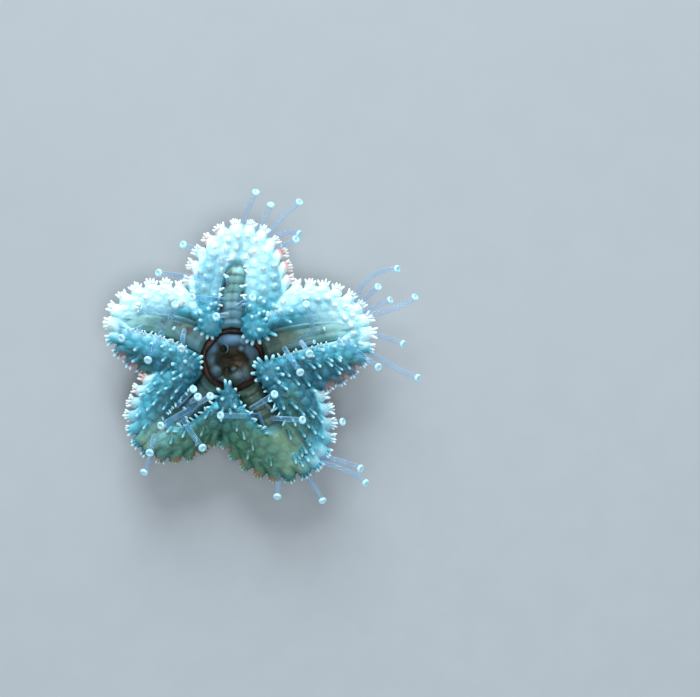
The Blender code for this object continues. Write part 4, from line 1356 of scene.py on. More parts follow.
def skin_material(colours):
    """Moist skin over plates: pale tops, teal hollows darkened as painted shade, warm spots between
    the edge's knobs, and paleness that is partly painted light.
    """

    def colour(tree):
        plate = worked(tree, "MAXIMUM", numbered(tree, "plate"), numbered(tree, "swell"))
        uneven = ranged(tree, mottle(tree, 1500.0, 0.3, 0.7), 0.0, 1.0, -0.16, 0.16)
        height = put(tree, "ShaderNodeMath", {0: plate, 1: uneven}, operation="ADD",
                     use_clamp=True).outputs[0]
        patchy = worked(tree, "MULTIPLY", mottle(tree, 330.0, 0.48, 0.62),
                        ranged(tree, numbered(tree, "pale"), 0.2, 0.8, 0.6, 0.0))
        green = worked(tree, "MAXIMUM", numbered(tree, "green"), patchy)
        tone = body_tone(tree, colours, height, green=green)
        olive = worked(tree, "MULTIPLY", numbered(tree, "middle"), 0.6)
        meeting = mixed(tree, green, colours.groove_cream, colours.cream)
        tone = mixed(tree, olive, tone, meeting)
        cream = worked(tree, "MULTIPLY", numbered(tree, "cream"),
                       ranged(tree, mottle(tree, 800.0, 0.35, 0.65), 0.0, 1.0, 0.55, 1.0))
        tone = mixed(tree, cream, tone, colours.cream)
        patch = mottle(tree, 420.0, 0.44, 0.56)
        speck = mottle(tree, 1300.0, 0.5, 0.62)
        shell = mixed(tree, patch, colours.back_olive, colours.back_cream)
        shell = mixed(tree, worked(tree, "MULTIPLY", speck, 0.7), shell, colours.back_green)
        hollow = ranged(tree, numbered(tree, "plate"), 0.0, 0.6, 0.55, 0.0)
        shell = mixed(tree, hollow, shell, colours.back_green)
        spotted = worked(tree, "MULTIPLY", numbered(tree, "back"),
                         ranged(tree, numbered(tree, "edge"), 0.2, 0.9, 1.0, 0.0))
        tone = mixed(tree, spotted, tone, shell)
        tone = mixed(tree, numbered(tree, "furrow"), tone, groove_tone(tree, colours))
        ring = mixed(tree, mottle(tree, 900.0, 0.35, 0.65), colours.mouth_ring,
                     colours.mouth_dark)
        return mixed(tree, numbered(tree, "well"), tone, ring)

    return new_material(
        "starfish_skin", colour, (2600.0, 0.42, 0.6), (5200.0, 0.8, 0.022),
        Subsurface_Weight=0.4, Subsurface_Scale=0.0008, Subsurface_Radius=(0.5, 1.0, 1.2),
        Coat_Weight=0.1, Coat_Roughness=0.25, Specular_IOR_Level=0.3,
    )


def spinelet_material(colours, name, lowest, pale_from=0.1, ends=("spinelet_tip", "green_tip")):
    """Glassy spinelets: the body's tone at the root, darkened there with the hollows' painted
    shade, paler towards the tip, and whitest where the painted light is pale.
    """
    plain, green = (getattr(colours, end) for end in ends)

    def colour(tree):
        tip = numbered(tree, "tip")
        # Painted shade: the root takes the hollows' darker tone.
        height = ranged(tree, tip, 0.0, 0.75, lowest, 1.0)
        height = worked(tree, "MAXIMUM", height, numbered(tree, "pale"))
        tone = body_tone(tree, colours, height)
        bright = ranged(tree, tip, pale_from, pale_from + 0.6, 0.0, 0.85)
        end = mixed(tree, numbered(tree, "green"), plain, green)
        # Painted light: the tip turns whiter where the skin's painted light is pale.
        end = mixed(tree, numbered(tree, "pale"), end, colours.pale_tip)
        return mixed(tree, bright, tone, end)

    return new_material(
        name, colour, (3000.0, 0.3, 0.45), (7000.0, 0.3, 0.015),
        Subsurface_Weight=0.45, Subsurface_Scale=0.0004, Subsurface_Radius=(0.6, 1.0, 1.2),
        Coat_Weight=0.15, Coat_Roughness=0.2, Specular_IOR_Level=0.35,
    )


def granule_material(colours):
    """Granules of the back: cream and olive, a few of them warm."""

    def colour(tree):
        patch = mottle(tree, 420.0, 0.44, 0.56)
        tone = mixed(tree, patch, colours.back_olive, colours.back_cream)
        tone = mixed(tree, ranged(tree, numbered(tree, "tip"), 0.2, 1.0, 0.0, 0.4), tone,
                     colours.spinelet_tip)
        return mixed(tree, numbered(tree, "warm"), tone, colours.blush)

    return new_material(
        "back_granule", colour, (3000.0, 0.3, 0.5), (7000.0, 0.3, 0.02),
        Subsurface_Weight=0.25, Subsurface_Scale=0.0004, Coat_Weight=0.2, Coat_Roughness=0.2,
    )


def jaw_material(colours):
    """Jaw plates: teal, paler on their tops and bosses and darker down their sides as painted light
    and shade, with a soft wet grain.
    """

    def colour(tree):
        uneven = worked(tree, "ADD", mottle(tree, 1300.0, 0.35, 0.65), numbered(tree, "lump"))
        height = ranged(tree, uneven, 0.0, 1.5, 0.15, 1.0)
        return body_tone(tree, colours, height)

    return new_material(
        "jaw_plate", colour, (2600.0, 0.38, 0.55), (2600.0, 0.25, 0.05),
        Subsurface_Weight=0.4, Subsurface_Scale=0.0007, Subsurface_Radius=(0.5, 1.0, 1.2),
        Coat_Weight=0.12, Coat_Roughness=0.22, Specular_IOR_Level=0.35,
    )


def groove_material(colours):
    """Moist ribbed strip of a groove."""
    return new_material(
        "groove_strip", lambda tree: groove_tone(tree, colours), (2600.0, 0.42, 0.6),
        (4600.0, 0.2, 0.02),
        Subsurface_Weight=0.4, Subsurface_Scale=0.0008, Subsurface_Radius=(1.0, 1.0, 0.8),
        Coat_Weight=0.1, Coat_Roughness=0.2, Specular_IOR_Level=0.3,
    )


def mouth_material(colours):
    """Thin wet folds: grey-olive on the lobes, painted paler towards the key softbox, brown in the
    hollows and near-black as painted shade in the deepest, red-brown at the ring.
    """

    def colour(tree):
        fold = numbered(tree, "fold")
        # Painted light with random patches: the lobes grow paler.
        paler = worked(tree, "ADD", worked(tree, "MULTIPLY", mottle(tree, 1000.0), 0.35),
                       numbered(tree, "lit"))
        lobe = mixed(tree, paler, colours.mouth_lobe, colours.mouth_pale)
        tone = mixed(tree, numbered(tree, "core"), colours.mouth_grey,
                     colours.mouth_brown)
        tone = mixed(tree, ranged(tree, fold, 0.0, 0.34), tone, lobe)
        # Painted shade: the deepest hollows turn near-black.
        tone = mixed(tree, ranged(tree, fold, -0.08, -0.5), tone, colours.mouth_dark)
        return mixed(tree, numbered(tree, "rim"), tone, colours.mouth_ring)

    return new_material(
        "mouth_folds", colour, (2000.0, 0.4, 0.6), (3200.0, 0.3, 0.08),
        Subsurface_Weight=0.3, Subsurface_Scale=0.0006, Subsurface_Radius=(1.2, 0.8, 0.7),
        Coat_Weight=0.02, Coat_Roughness=0.2, Specular_IOR_Level=0.18,
    )


def foot_material(colours):
    """Clear tube feet: a thin bluish wall that is denser edge-on and painted whiter at its outline
    as a painted rim highlight, and a whiter sucker.
    """

    def colour(tree):
        cloud = ranged(tree, mottle(tree, 700.0, 0.3, 0.7), 0.0, 1.0, 0.0, 0.6)
        wall = mixed(tree, cloud, colours.foot, colours.foot_pale)
        return mixed(tree, numbered(tree, "sucker"), wall, colours.sucker)

    made = new_material("tube_foot", colour, (3000.0, 0.08, 0.2), (3000.0, 0.1, 0.008),
                        Coat_Weight=0.5, Coat_Roughness=0.08)
    tree = made.node_tree
    shader = tree.nodes["Principled BSDF"]
    facing = put(tree, "ShaderNodeLayerWeight", {"Blend": 0.5}).outputs["Facing"]
    # Painted highlight: the wall's colour turns whiter towards its outline.
    rim = ranged(tree, facing, 0.5, 0.92, 0.0, 0.9)
    plain = shader.inputs["Base Color"].links[0].from_socket
    tree.links.new(mixed(tree, rim, plain, colours.foot_rim), shader.inputs["Base Color"])
    wall = ranged(tree, facing, 0.42, 0.9, 0.15, 0.95)
    solid = ranged(tree, numbered(tree, "sucker"), 0.0, 0.7, 0.0, 0.85)
    tree.links.new(worked(tree, "MAXIMUM", wall, solid), shader.inputs["Alpha"])
    return made


def floor_material(colours):
    """Pale matt floor, see-through from below."""
    made = new_material(
        "studio_floor",
        lambda tree: mixed(tree, mottle(tree, 30.0, 0.2, 0.8), colours.floor,
                           (*(0.97 * part for part in colours.floor[:3]), 1)),
        (300.0, 0.6, 0.7),
    )
    tree = made.node_tree
    behind = put(tree, "ShaderNodeNewGeometry").outputs["Backfacing"]
    shown = worked(tree, "SUBTRACT", 1.0, behind)
    tree.links.new(shown, tree.nodes["Principled BSDF"].inputs["Alpha"])
    return made


# Settings


def amount(name, text, value, **settings):
    """A plain number."""
    return bpy.props.FloatProperty(name=name, description=text, default=value, **settings)


def length(name, text, size):
    """A length in millimetres, kept in metres."""
    return amount(name, text, size * MM, unit="LENGTH", precision=5)


def tint(name, text, value):
    """An opaque colour, given as red, green and blue."""
    return bpy.props.FloatVectorProperty(name=name, description=text, default=(*value, 1.0),
                                         size=4, subtype="COLOR", min=0.0, max=1.0)


class SkinSizes(bpy.types.PropertyGroup):
    """Sizes of the skin's plates and edge knobs."""

    plate_pitch: length("Plate spacing", "From one plate's middle to the next", 0.95)
    plate_height: length("Plate height", "How far a plate swells out of the skin", 0.21)
    knob_pitch: length("Knob spacing", "From one edge knob's middle to the next", 1.26)
    knob_height: length("Knob height", "How far an edge knob swells outwards", 0.85)


class SpineletSizes(bpy.types.PropertyGroup):
    """Sizes of the spinelets and granules."""

    edge_length: length("Edge length", "Length of the edge knobs' spinelets", 0.45)
    edge_radius: length("Edge radius", "Radius of the edge knobs' spinelets", 0.14)
    wedge_length: length("Wedge length", "Length of the spinelets between grooves", 0.74)
    wedge_radius: length("Wedge radius", "Radius of the spinelets between grooves", 0.2)
    comb_length: length("Comb length", "Length of the spinelets along a groove", 0.62)
    comb_radius: length("Comb radius", "Radius of the spinelets along a groove", 0.13)
    back_length: length("Back length", "Length of the back's granules", 0.26)
    back_radius: length("Back radius", "Radius of the back's granules", 0.085)
    jaw_length: length("Jaw length", "Length of the jaws' spinelets", 0.74)
    jaw_radius: length("Jaw radius", "Radius of the jaws' spinelets", 0.21)


class FootSizes(bpy.types.PropertyGroup):
    """Sizes of the tube feet and of the groove's ribs."""

    stalk: length("Stalk radius", "Radius of a tube foot's stalk", 0.225)
    sucker: length("Sucker radius", "Radius of a tube foot's sucker", 0.37)
    lying_stalk: length("Lying radius", "Radius of a foot that lies in its groove", 0.13)
    rib_pitch: length("Rib spacing", "From one rib of a groove to the next", 0.76)
    rib_height: length("Rib height", "Height of a groove's ribs over their hollows", 0.16)


class Colours(bpy.types.PropertyGroup):
    """Colours of the animal and the stage."""

    # Painted light and shade: the dark, middle and pale tones are partly shaded and lit copies of
    # the flesh, and each hollow tone is darker than its top.
    dark_hollow: tint("Dark hollow", "Between plates, beside the mouth", (0.012, 0.09, 0.125))
    green_hollow: tint("Green hollow", "Between plates, lower arms", (0.012, 0.065, 0.04))
    middle_hollow: tint("Middle hollow", "Between plates, side arms", (0.035, 0.27, 0.36))
    pale_hollow: tint("Pale hollow", "Between plates, upper arms", (0.33, 0.75, 0.88))
    dark_top: tint("Dark top", "Plates beside the mouth", (0.03, 0.19, 0.27))
    green_top: tint("Green top", "Plates of the lower arms", (0.06, 0.2, 0.13))
    middle_top: tint("Middle top", "Plates of the side arms", (0.09, 0.46, 0.61))
    pale_top: tint("Pale top", "Plates of the upper arms", (0.74, 0.96, 1.0))
    blush: tint("Blush", "Orange places of the edge", (0.8, 0.2, 0.12))
    ochre: tint("Ochre", "Orange places of the lower arms", (0.34, 0.16, 0.06))
    cream: tint("Cream", "Cream-green places of the lower arms", (0.19, 0.3, 0.17))
    # Painted light: spinelet ends take this where the painted light is pale.
    pale_tip: tint("Pale tip", "Ends of the upper arms' spinelets", (0.84, 1.0, 1.0))
    green_tip: tint("Green tip", "Ends of the lower arms' spinelets", (0.15, 0.38, 0.42))
    edge_tip: tint("Edge tip", "Ends of the edge's spinelets", (0.58, 0.8, 1.0))
    ochre_tip: tint("Ochre tip", "The same on the lower arms", (0.2, 0.33, 0.26))
    spinelet_tip: tint("Spinelet tip", "Ends of the spinelets", (0.4, 0.84, 1.0))
    groove: tint("Groove", "Ribs of the grooves", (0.1, 0.26, 0.26))
    groove_cream: tint("Groove cream", "Paler ribs", (0.22, 0.43, 0.42))
    groove_olive: tint("Groove olive", "Ribs by the mouth, side arms", (0.075, 0.1, 0.045))
    groove_end: tint("Groove end", "Outer ends of the grooves", (0.36, 0.68, 0.7))
    groove_blue: tint("Groove blue", "Ribs by the mouth", (0.16, 0.36, 0.46))
    groove_deep: tint("Groove deep", "Ribs of the lower grooves", (0.02, 0.09, 0.11))
    # Painted shade between the ribs.
    groove_dark: tint("Groove dark", "Between ribs", (0.03, 0.065, 0.045))
    groove_spot: tint("Groove spot", "Spots at a groove's edges", (0.07, 0.035, 0.022))
    mouth_ring: tint("Mouth ring", "Ring round the mouth", (0.065, 0.018, 0.006))
    mouth_lobe: tint("Mouth lobe", "Folds of the mouth", (0.055, 0.09, 0.09))
    # Painted light on the folds towards the key softbox.
    mouth_pale: tint("Mouth pale", "Paler folds", (0.12, 0.25, 0.38))
    mouth_grey: tint("Mouth grey", "Between folds, near the rim", (0.028, 0.038, 0.03))
    mouth_brown: tint("Mouth brown", "Hollows of the mouth", (0.026, 0.016, 0.004))
    # Painted shade in the mouth's deepest hollows, and dark patches of its ring.
    mouth_dark: tint("Mouth dark", "Deepest hollows", (0.012, 0.009, 0.007))
    foot: tint("Foot", "Wall of the tube feet", (0.07, 0.36, 0.75))
    foot_pale: tint("Foot pale", "Paler wall", (0.3, 0.68, 0.92))
    # Painted rim highlight of the tube feet.
    foot_rim: tint("Foot rim", "Edges of the tube feet", (0.8, 0.97, 1.0))
    sucker: tint("Sucker", "Suckers", (0.55, 0.92, 1.0))
    back_olive: tint("Back olive", "Ground colour of the back", (0.16, 0.2, 0.12))
    back_cream: tint("Back cream", "Patches of the back", (0.52, 0.5, 0.36))
    back_green: tint("Back green", "Specks of the back", (0.05, 0.12, 0.08))
    floor: tint("Floor", "Floor of the studio", (0.38, 0.41, 0.44))
    lamp: tint("Lamp", "Light of the softboxes", (0.9, 0.97, 1.0))
    sky: tint("Sky", "Light from all round", (0.86, 0.93, 1.0))


class StageSettings(bpy.types.PropertyGroup):
    """Framing of the picture and powers of the lights."""

    width: length("Frame width", "Width that the picture spans at the body's height", 61.25)
    across: length("Frame middle X", "Plan place in the middle of the picture", 10.34)
    along: length("Frame middle Y", "Plan place in the middle of the picture", 0.99)
    lens: amount("Lens", "Focal length", 150.0, subtype="DISTANCE_CAMERA")
    key: amount("Key", "Power of the main softbox", 3.1, unit="POWER")
    fill: amount("Fill", "Power of the overhead softbox", 1.1, unit="POWER")
    sky: amount("Sky", "Strength of the light from all round", 0.35)


class StarfishSettings(bpy.types.PropertyGroup):
    """All settings of a scene's starfish."""

    skin: bpy.props.PointerProperty(type=SkinSizes)
    spinelets: bpy.props.PointerProperty(type=SpineletSizes)
    feet: bpy.props.PointerProperty(type=FootSizes)
    colours: bpy.props.PointerProperty(type=Colours)
    stage: bpy.props.PointerProperty(type=StageSettings)


# Light


def add_softbox(name, power, colour, size, location):
    """A square light that faces the body's middle."""
    data = bpy.data.lights.new(name, "AREA")
    data.energy, data.size = power, size
    data.color = colour[:3]
    light = bpy.data.objects.new(name, data)
    light.location = location
    light.rotation_euler = Vector(location).to_track_quat("Z", "Y").to_euler()
    bpy.context.scene.collection.objects.link(light)


# Operators


class STARFISH_OT_skin(bpy.types.Operator):
    """Makes the one closed skin of the disc and the arms"""

    bl_idname = "starfish.skin"
    bl_label = "Skin"

    def execute(self, context):
        grid = body(context)
        rows, columns = grid["rho"].shape
        well = np.zeros((rows, columns))
        well[WELL] = 1.0
        keys = ("plate", "edge", "furrow", "back", "pale", "green", "cream", "warm", "middle")
        fields = {key: grid[key] for key in keys}
        side = -SIDE_OF[grid["half"]] * np.clip(1 + grid["across"], 0, 1)
        pitch = context.scene.starfish.feet.rib_pitch / MM
        fields.update(groove_fields(ARM_OF[grid["half"]], grid["rho"], side, pitch))
        fields["swell"] = grid["knob"] * grid["edge"]
        fields["well"] = well
        sheet = np.concatenate([grid["sheet"].reshape(-1, 2), [(0.75, 0.5), (0.25, 0.5)]])

        def patches(corners):
            """Places on the unwrap. Faces just past the middle row use the other disc."""
            found = sheet[corners]
            starts = np.arange(0, 4 * (rows - 1) * columns, 4)
            first = starts[corners[starts] // columns == MIDDLE_ROW]
            for corner in (0, 1):
                found[first + corner, 0] -= 0.5
            return found

        skin = one_surface("skin", grid["points"], fields, patches)
        nodes = ["disc"] + [f"arm_{arm + 1}" for arm in ARMS]
        dress(skin, skin_material(context.scene.starfish.colours), nodes)
        return {"FINISHED"}


class STARFISH_OT_edge_spinelets(bpy.types.Operator):
    """Makes the fans of spinelets on the knobs of the body's edge"""

    bl_idname = "starfish.edge_spinelets"
    bl_label = "Edge spinelets"

    def execute(self, context):
        grid, sizes = body(context), context.scene.starfish.spinelets
        rng = np.random.default_rng(21)
        rows, columns, middles = edge_places(grid)
        roots, normals, sheet = gathered(grid, rows, columns)
        out = grid["out"][middles]
        fan = grid["points"][rows, columns] - grid["points"][rows, middles]
        ahead = unit(0.3 * normals + 0.8 * out + 1.25 * fan + rng.normal(0, 0.1, roots.shape))
        size = sizes.edge_length / MM * rng.uniform(0.75, 1.2, len(roots))
        size *= 1 - 0.3 * grid["green"][rows, columns]
        radius = sizes.edge_radius / MM * rng.uniform(0.9, 1.12, len(roots))
        tones = tones_at(grid, rows, columns, 0.1, 0.8)
        made = spinelets("edge_spinelets", roots, ahead, size, radius, sheet, tones, 0.08, 0.3, 1)
        material = spinelet_material(context.scene.starfish.colours, "edge_spinelet", 0.6,
                                     ends=("edge_tip", "ochre_tip"))
        dress(made, material)
        return {"FINISHED"}


class STARFISH_OT_wedge_spinelets(bpy.types.Operator):
    """Makes the spinelets on the plates between the grooves"""

    bl_idname = "starfish.wedge_spinelets"
    bl_label = "Wedge spinelets"

    def execute(self, context):
        grid, sizes = body(context), context.scene.starfish.spinelets
        rng = np.random.default_rng(31)
        beside = (grid["across"] > 0.05) | (grid["plate"] > 0.6)
        chosen = (grid["top"] > 0) & beside & (grid["edge"] < 0.6) & (grid["furrow"] < 0.1)
        rows, columns = plate_middles(grid, chosen & (grid["rho"] > SEAT_END + 0.1))
        number = rng.choice((0, 1, 2), len(rows), p=(0.3, 0.64, 0.06))
        sparse = 0.6 * (grid["half"][rows, columns] == 3)
        number[rng.uniform(size=len(rows)) < sparse] = 0
        number[rng.uniform(size=len(rows)) < 0.55 * grid["green"][rows, columns]] = 0
        rows, columns = np.repeat(rows, number), np.repeat(columns, number)
        order = np.arange(len(rows)) - np.repeat(np.cumsum(number) - number, number)
        share = order - (np.repeat(number, number) - 1) / 2
        roots, normals, sheet = gathered(grid, rows, columns)
        out, inwards = plan_ways(roots, grid["half"][rows, columns])
        aside = np.cross(UP, out)
        roots = roots + aside * (share * 0.24)[:, None] + rng.normal(0, 0.03, roots.shape)
        roots -= normals * 0.05
        lean = rng.uniform(0.9, 1.5, len(rows))[:, None]
        ahead = unit(normals + out * lean - inwards * 0.1 + aside * (share * 0.5)[:, None]
                     + (0.0, -0.5, 0.0) + rng.normal(0, 0.22, roots.shape))
        size = sizes.wedge_length / MM * rng.uniform(0.8, 1.15, len(rows))
        size *= 1 - 0.62 * grid["pale"][rows, columns]
        radius = sizes.wedge_radius / MM * rng.uniform(0.88, 1.12, len(rows))
        tones = tones_at(grid, rows, columns, 0.06, 0.0)
        sheet = sheet + (share * 0.004)[:, None] * aside[:, :2]
        made = spinelets("wedge_spinelets", roots, ahead, size, radius, sheet, tones, 0.0, 0.15, 2)
        material = spinelet_material(context.scene.starfish.colours, "wedge_spinelet", 0.45, 0.35)
        dress(made, material)
        return {"FINISHED"}


class STARFISH_OT_groove_combs(bpy.types.Operator):
    """Makes the combs of spinelets that lean over each groove"""

    bl_idname = "starfish.groove_combs"
    bl_label = "Groove combs"

    def execute(self, context):
        grid, sizes = body(context), context.scene.starfish.spinelets
        rng = np.random.default_rng(41)
        roots, ahead, size, sheet, spots = [], [], [], [], []
        column = FLOOR_COLUMNS + WALL_COLUMNS + 1
        for half in range(10):
            tip = (2 * ARM_OF[half] + 1) * HALF_COLUMNS
            line = (tip + SIDE_OF[half] * column) % len(grid["phase"])
            rim = grid["points"][:, line]
            rows = np.flatnonzero((grid["top"][:, line] > 0) & (grid["edge"][:, line] < 0.6))
            reach = np.hypot(rim[rows, 0], rim[rows, 1])
            end = min(reach.max() - 0.1, ARM_REACH[ARM_OF[half]] * OPEN_SHARE[ARM_OF[half]] + 0.5)
            plates = np.arange(SEAT_END - 0.3, end, COMB_PITCH)[:, None]
            stations = (plates + (-0.17, 0.17)).ravel() + rng.normal(0, 0.05, 2 * len(plates))
            fan = np.tile((-0.35, 0.35), len(plates))[:, None]
            kept = rng.uniform(size=len(stations)) > SOFT_WALLS[half]
            stations, fan = stations[kept], fan[kept]
            if not len(stations):
                continue
            pick = rows[np.abs(reach[None] - stations[:, None]).argmin(axis=1)]
            points, _, spot = gathered(grid, pick, np.full(len(pick), line))
            out, inwards = plan_ways(points, np.full(len(pick), half))
            shut = closed(ARM_OF[half], stations)[:, None]
            rise = COMB_RISE[ARM_OF[half]] + rng.uniform(-0.15, 0.15, (len(pick), 1)) - 0.4 * shut
            wander = rng.normal(0, 0.18, points.shape)
            ahead.append(unit(inwards + UP * rise + out * fan + wander))
            roots.append(points - UP * 0.12 + inwards * 0.02)
            size.append((0.95 + 0.2 * shut[:, 0]) * rng.uniform(0.7, 1.2, len(pick)))
            sheet.append(spot)
            spots.append(np.stack([pick, np.full(len(pick), line)], axis=-1))
        roots, ahead, sheet = (np.concatenate(part) for part in (roots, ahead, sheet))
        size = np.concatenate(size) * sizes.comb_length / MM
        radius = sizes.comb_radius / MM * rng.uniform(0.88, 1.12, len(size))
        tones = tones_at(grid, *np.concatenate(spots).T, 0.15, 0.0)
        made = spinelets("groove_combs", roots, ahead, size, radius, sheet, tones, 0.05, 0.3, 3)
        material = spinelet_material(context.scene.starfish.colours, "comb_spinelet", 0.5)
        dress(made, material)
        return {"FINISHED"}


class STARFISH_OT_back_granules(bpy.types.Operator):
    """Makes the tufts of short granules on the plates of the back"""

    bl_idname = "starfish.back_granules"
    bl_label = "Back granules"

    def execute(self, context):
        grid, sizes = body(context), context.scene.starfish.spinelets
        rng = np.random.default_rng(51)
        rows, columns = plate_middles(grid, (grid["back"] > 0) & (grid["edge"] < 0.7))
        rows, columns = np.repeat(rows, TUFT), np.repeat(columns, TUFT)
        roots, normals, sheet = gathered(grid, rows, columns)
        turn = rng.uniform(0, 2 * np.pi, len(rows))
        far = np.tile(np.sqrt((np.arange(TUFT) + 0.4) / TUFT), len(rows) // TUFT) * 0.3
        first, second = square_to(normals)
        step = first * np.cos(turn)[:, None] + second * np.sin(turn)[:, None]
        roots = roots + step * far[:, None] - normals * 0.03
        ahead = unit(normals + step * 0.45 + rng.normal(0, 0.08, roots.shape))
        size = sizes.back_length / MM * rng.uniform(0.75, 1.2, len(rows))
        size = np.minimum(size, (roots[:, 2] - 0.012) / np.maximum(-ahead[:, 2], 0.05))
        radius = sizes.back_radius / MM * rng.uniform(0.85, 1.15, len(rows))
        sheet = sheet + (far * 0.012)[:, None] * np.stack([np.cos(turn), np.sin(turn)], axis=-1)
        tones = {"warm": rng.uniform(0, 1, len(rows)) ** 4 * 0.5}
        made = spinelets("back_granules", roots, ahead, size, radius, sheet, tones, 0.0, 0.8, 4)
        dress(made, granule_material(context.scene.starfish.colours))
        return {"FINISHED"}


class STARFISH_OT_jaws(bpy.types.Operator):
    """Makes the five jaws and their fans of spinelets"""

    bl_idname = "starfish.jaws"
    bl_label = "Jaws"

    def execute(self, context):
        settings = context.scene.starfish
        sizes = settings.spinelets
        plate = jaw_material(settings.colours)
        stub = spinelet_material(settings.colours, "jaw_spinelet", 0.6, 0.35)
        turn = np.linspace(0, 2 * np.pi, JAW_SIDES, endpoint=False)
        rise = np.radians(np.linspace(-84, 84, JAW_ROWS))[:, None]
        for index in ARMS:
            rng = np.random.default_rng(60 + index)
            rings = jaw_point(index, *np.broadcast_arrays(turn, rise))
            first, last = rings[0].mean(axis=0), rings[-1].mean(axis=0)
            surface = np.concatenate([rings.reshape(-1, 3), [first, last]])
            values = jaw_tones(surface, 0.0)
            # Painted light and shade: a jaw's top takes the tops' pale tone, its sides the hollows'
            # dark one.
            values["lump"] = smooth((surface[:, 2] - JAW_HIGH_Z + 0.1) / 0.25)
            jaw = ring_mesh(f"jaw_lobe_{index + 1}", rings[None], first[None], last[None], values)
            dress(jaw, plate, [f"jaw_{index + 1}"])
            tips, ahead, size, top = jaw_spinelets(index, rng)
            count, reach = len(ahead), size * sizes.jaw_length / MM
            roots = np.concatenate([tips - (ahead * reach[:, None])[: len(tips)], top])
            sheet = np.stack([0.25 + roots[:, 0] * 0.02, 0.5 + roots[:, 1] * 0.04], axis=-1)
            radius = sizes.jaw_radius / MM * rng.uniform(0.9, 1.1, count)
            made = spinelets(f"jaw_fan_{index + 1}", roots, ahead, reach, radius, sheet,
                             jaw_tones(roots, 0.15), 0.0, 0.6, 5 + index)
            dress(made, stub, [f"jaw_{index + 1}"])
        return {"FINISHED"}


class STARFISH_OT_grooves(bpy.types.Operator):
    """Makes the ribbed strip along each groove"""

    bl_idname = "starfish.grooves"
    bl_label = "Groove strips"

    def execute(self, context):
        sizes = context.scene.starfish.feet
        material = groove_material(context.scene.starfish.colours)
        pitch, rib = sizes.rib_pitch / MM, sizes.rib_height / MM
        for arm in ARMS:
            strip = one_surface(f"groove_strip_{arm + 1}", *groove_rings(arm, pitch, rib))
            dress(strip, material, [f"groove_{arm + 1}"])
        return {"FINISHED"}


class STARFISH_OT_tube_feet(bpy.types.Operator):
    """Makes the long tube feet, from the grooves and past the arms' edges"""

    bl_idname = "starfish.tube_feet"
    bl_label = "Tube feet"

    def execute(self, context):
        sizes = context.scene.starfish.feet
        turn_up = np.repeat((0.8, 1.3), (len(EDGE_FEET), len(GROOVE_FEET)))
        made = tube_feet("tube_feet", foot_controls(), sizes.stalk / MM, sizes.sucker / MM,
                         turn_up)
        material = foot_material(context.scene.starfish.colours)
        nodes = [f"groove_{arm + 1}" for arm in ARMS]
        dress(made, material, nodes)
        return {"FINISHED"}


class STARFISH_OT_lying_feet(bpy.types.Operator):
    """Makes the short feet that lie drawn in along each groove"""

    bl_idname = "starfish.lying_feet"
    bl_label = "Lying feet"

    def execute(self, context):
        sizes = context.scene.starfish.feet
        rng = np.random.default_rng(71)
        found = []
        for arm, rho, away, reach in LYING_FEET:
            floor = float(groove_floor(arm, rho)) + RAISED[arm]
            root = polar(rho, axis_deg(arm, rho) + math.degrees(away / rho), floor + 0.75)
            out = unit(root * (1, 1, 0))
            run = out * reach
            aside = np.cross(UP, out) * rng.uniform(-0.25, 0.25)
            found.append((root, root + run * 0.1 + UP * 0.3, root + run * 0.6 + UP * 0.4 + aside,
                          root + run + aside * 1.6 + UP * 0.38))
        made = tube_feet("lying_feet", np.array(found), sizes.lying_stalk / MM,
                         sizes.lying_stalk / MM * 1.65, np.full(len(found), 0.5))
        material = bpy.data.materials.get("tube_foot")
        dress(made, material or foot_material(context.scene.starfish.colours))
        return {"FINISHED"}


class STARFISH_OT_mouth(bpy.types.Operator):
    """Makes the soft folded skin round the mouth"""

    bl_idname = "starfish.mouth"
    bl_label = "Mouth"

    def execute(self, context):
        low, high = (corner.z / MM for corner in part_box("mouth"))
        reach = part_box("mouth")[1].x / MM
        made = one_surface("mouth_skin", *mouth_rings(low, high, reach))
        dress(made, mouth_material(context.scene.starfish.colours), ["mouth"])
        return {"FINISHED"}


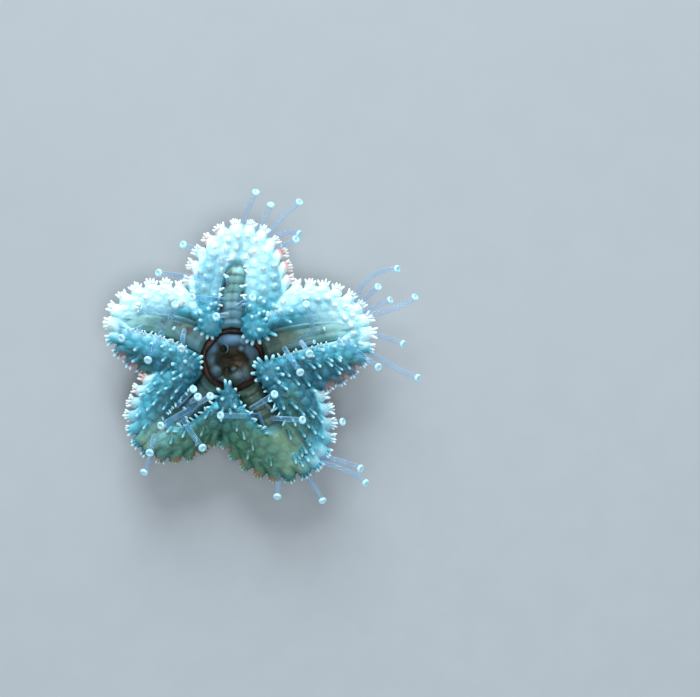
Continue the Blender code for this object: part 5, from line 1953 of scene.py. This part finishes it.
class STARFISH_OT_stage(bpy.types.Operator):
    """Makes the floor, the softboxes and the camera straight above"""

    bl_idname = "starfish.stage"
    bl_label = "Stage"

    def execute(self, context):
        stage, scene = context.scene.starfish.stage, context.scene
        mesh = bpy.data.meshes.new("floor")
        corners = np.array(((-1, -1, 0), (1, -1, 0), (1, 1, 0), (-1, 1, 0))) * FLOOR_HALF
        mesh.from_pydata(corners.tolist(), [], [(0, 1, 2, 3)])
        floor = bpy.data.objects.new("floor", mesh)
        floor.data.materials.append(floor_material(scene.starfish.colours))
        scene.collection.objects.link(floor)
        for name, size, location in SOFTBOXES:
            power = getattr(stage, name)
            add_softbox(f"{name}_softbox", power, scene.starfish.colours.lamp, size, location)
        world = bpy.data.worlds.new("studio")
        world.use_nodes = True
        sky = world.node_tree.nodes["Background"]
        sky.inputs["Color"].default_value = scene.starfish.colours.sky
        sky.inputs["Strength"].default_value = stage.sky
        scene.world = world
        data = bpy.data.cameras.new("camera")
        data.lens = stage.lens
        data.clip_start = 0.01
        camera = bpy.data.objects.new("camera", data)
        away = stage.width * stage.lens / data.sensor_width
        camera.location = (stage.across, stage.along, away + FOCUS_Z * MM)
        scene.collection.objects.link(camera)
        scene.camera = camera
        scene.view_settings.view_transform = "Standard"
        return {"FINISHED"}


class STARFISH_PT_sidebar(bpy.types.Panel):
    """Lists the starfish's settings and the steps that make it"""

    bl_idname = "STARFISH_PT_sidebar"
    bl_label = "Starfish"
    bl_space_type = "VIEW_3D"
    bl_region_type = "UI"
    bl_category = "Starfish"

    def draw(self, context):
        settings = context.scene.starfish
        for step in STEPS:
            self.layout.operator(step.bl_idname)
        for part in (settings.skin, settings.spinelets, settings.feet, settings.colours,
                     settings.stage):
            box = self.layout.box()
            for key in part.__annotations__:
                box.prop(part, key)


STEPS = (
    STARFISH_OT_stage,
    STARFISH_OT_skin,
    STARFISH_OT_edge_spinelets,
    STARFISH_OT_wedge_spinelets,
    STARFISH_OT_groove_combs,
    STARFISH_OT_back_granules,
    STARFISH_OT_jaws,
    STARFISH_OT_grooves,
    STARFISH_OT_tube_feet,
    STARFISH_OT_lying_feet,
    STARFISH_OT_mouth,
)
CLASSES = (SkinSizes, SpineletSizes, FootSizes, Colours, StageSettings, StarfishSettings, *STEPS,
           STARFISH_PT_sidebar)


def register():
    for cls in CLASSES:
        bpy.utils.register_class(cls)
    bpy.types.Scene.starfish = bpy.props.PointerProperty(type=StarfishSettings)


def unregister():
    del bpy.types.Scene.starfish
    for cls in reversed(CLASSES):
        bpy.utils.unregister_class(cls)


def main():
    register()
    for step in STEPS:
        group, name = step.bl_idname.split(".")
        getattr(getattr(bpy.ops, group), name)()


if __name__ == "__main__":
    main()
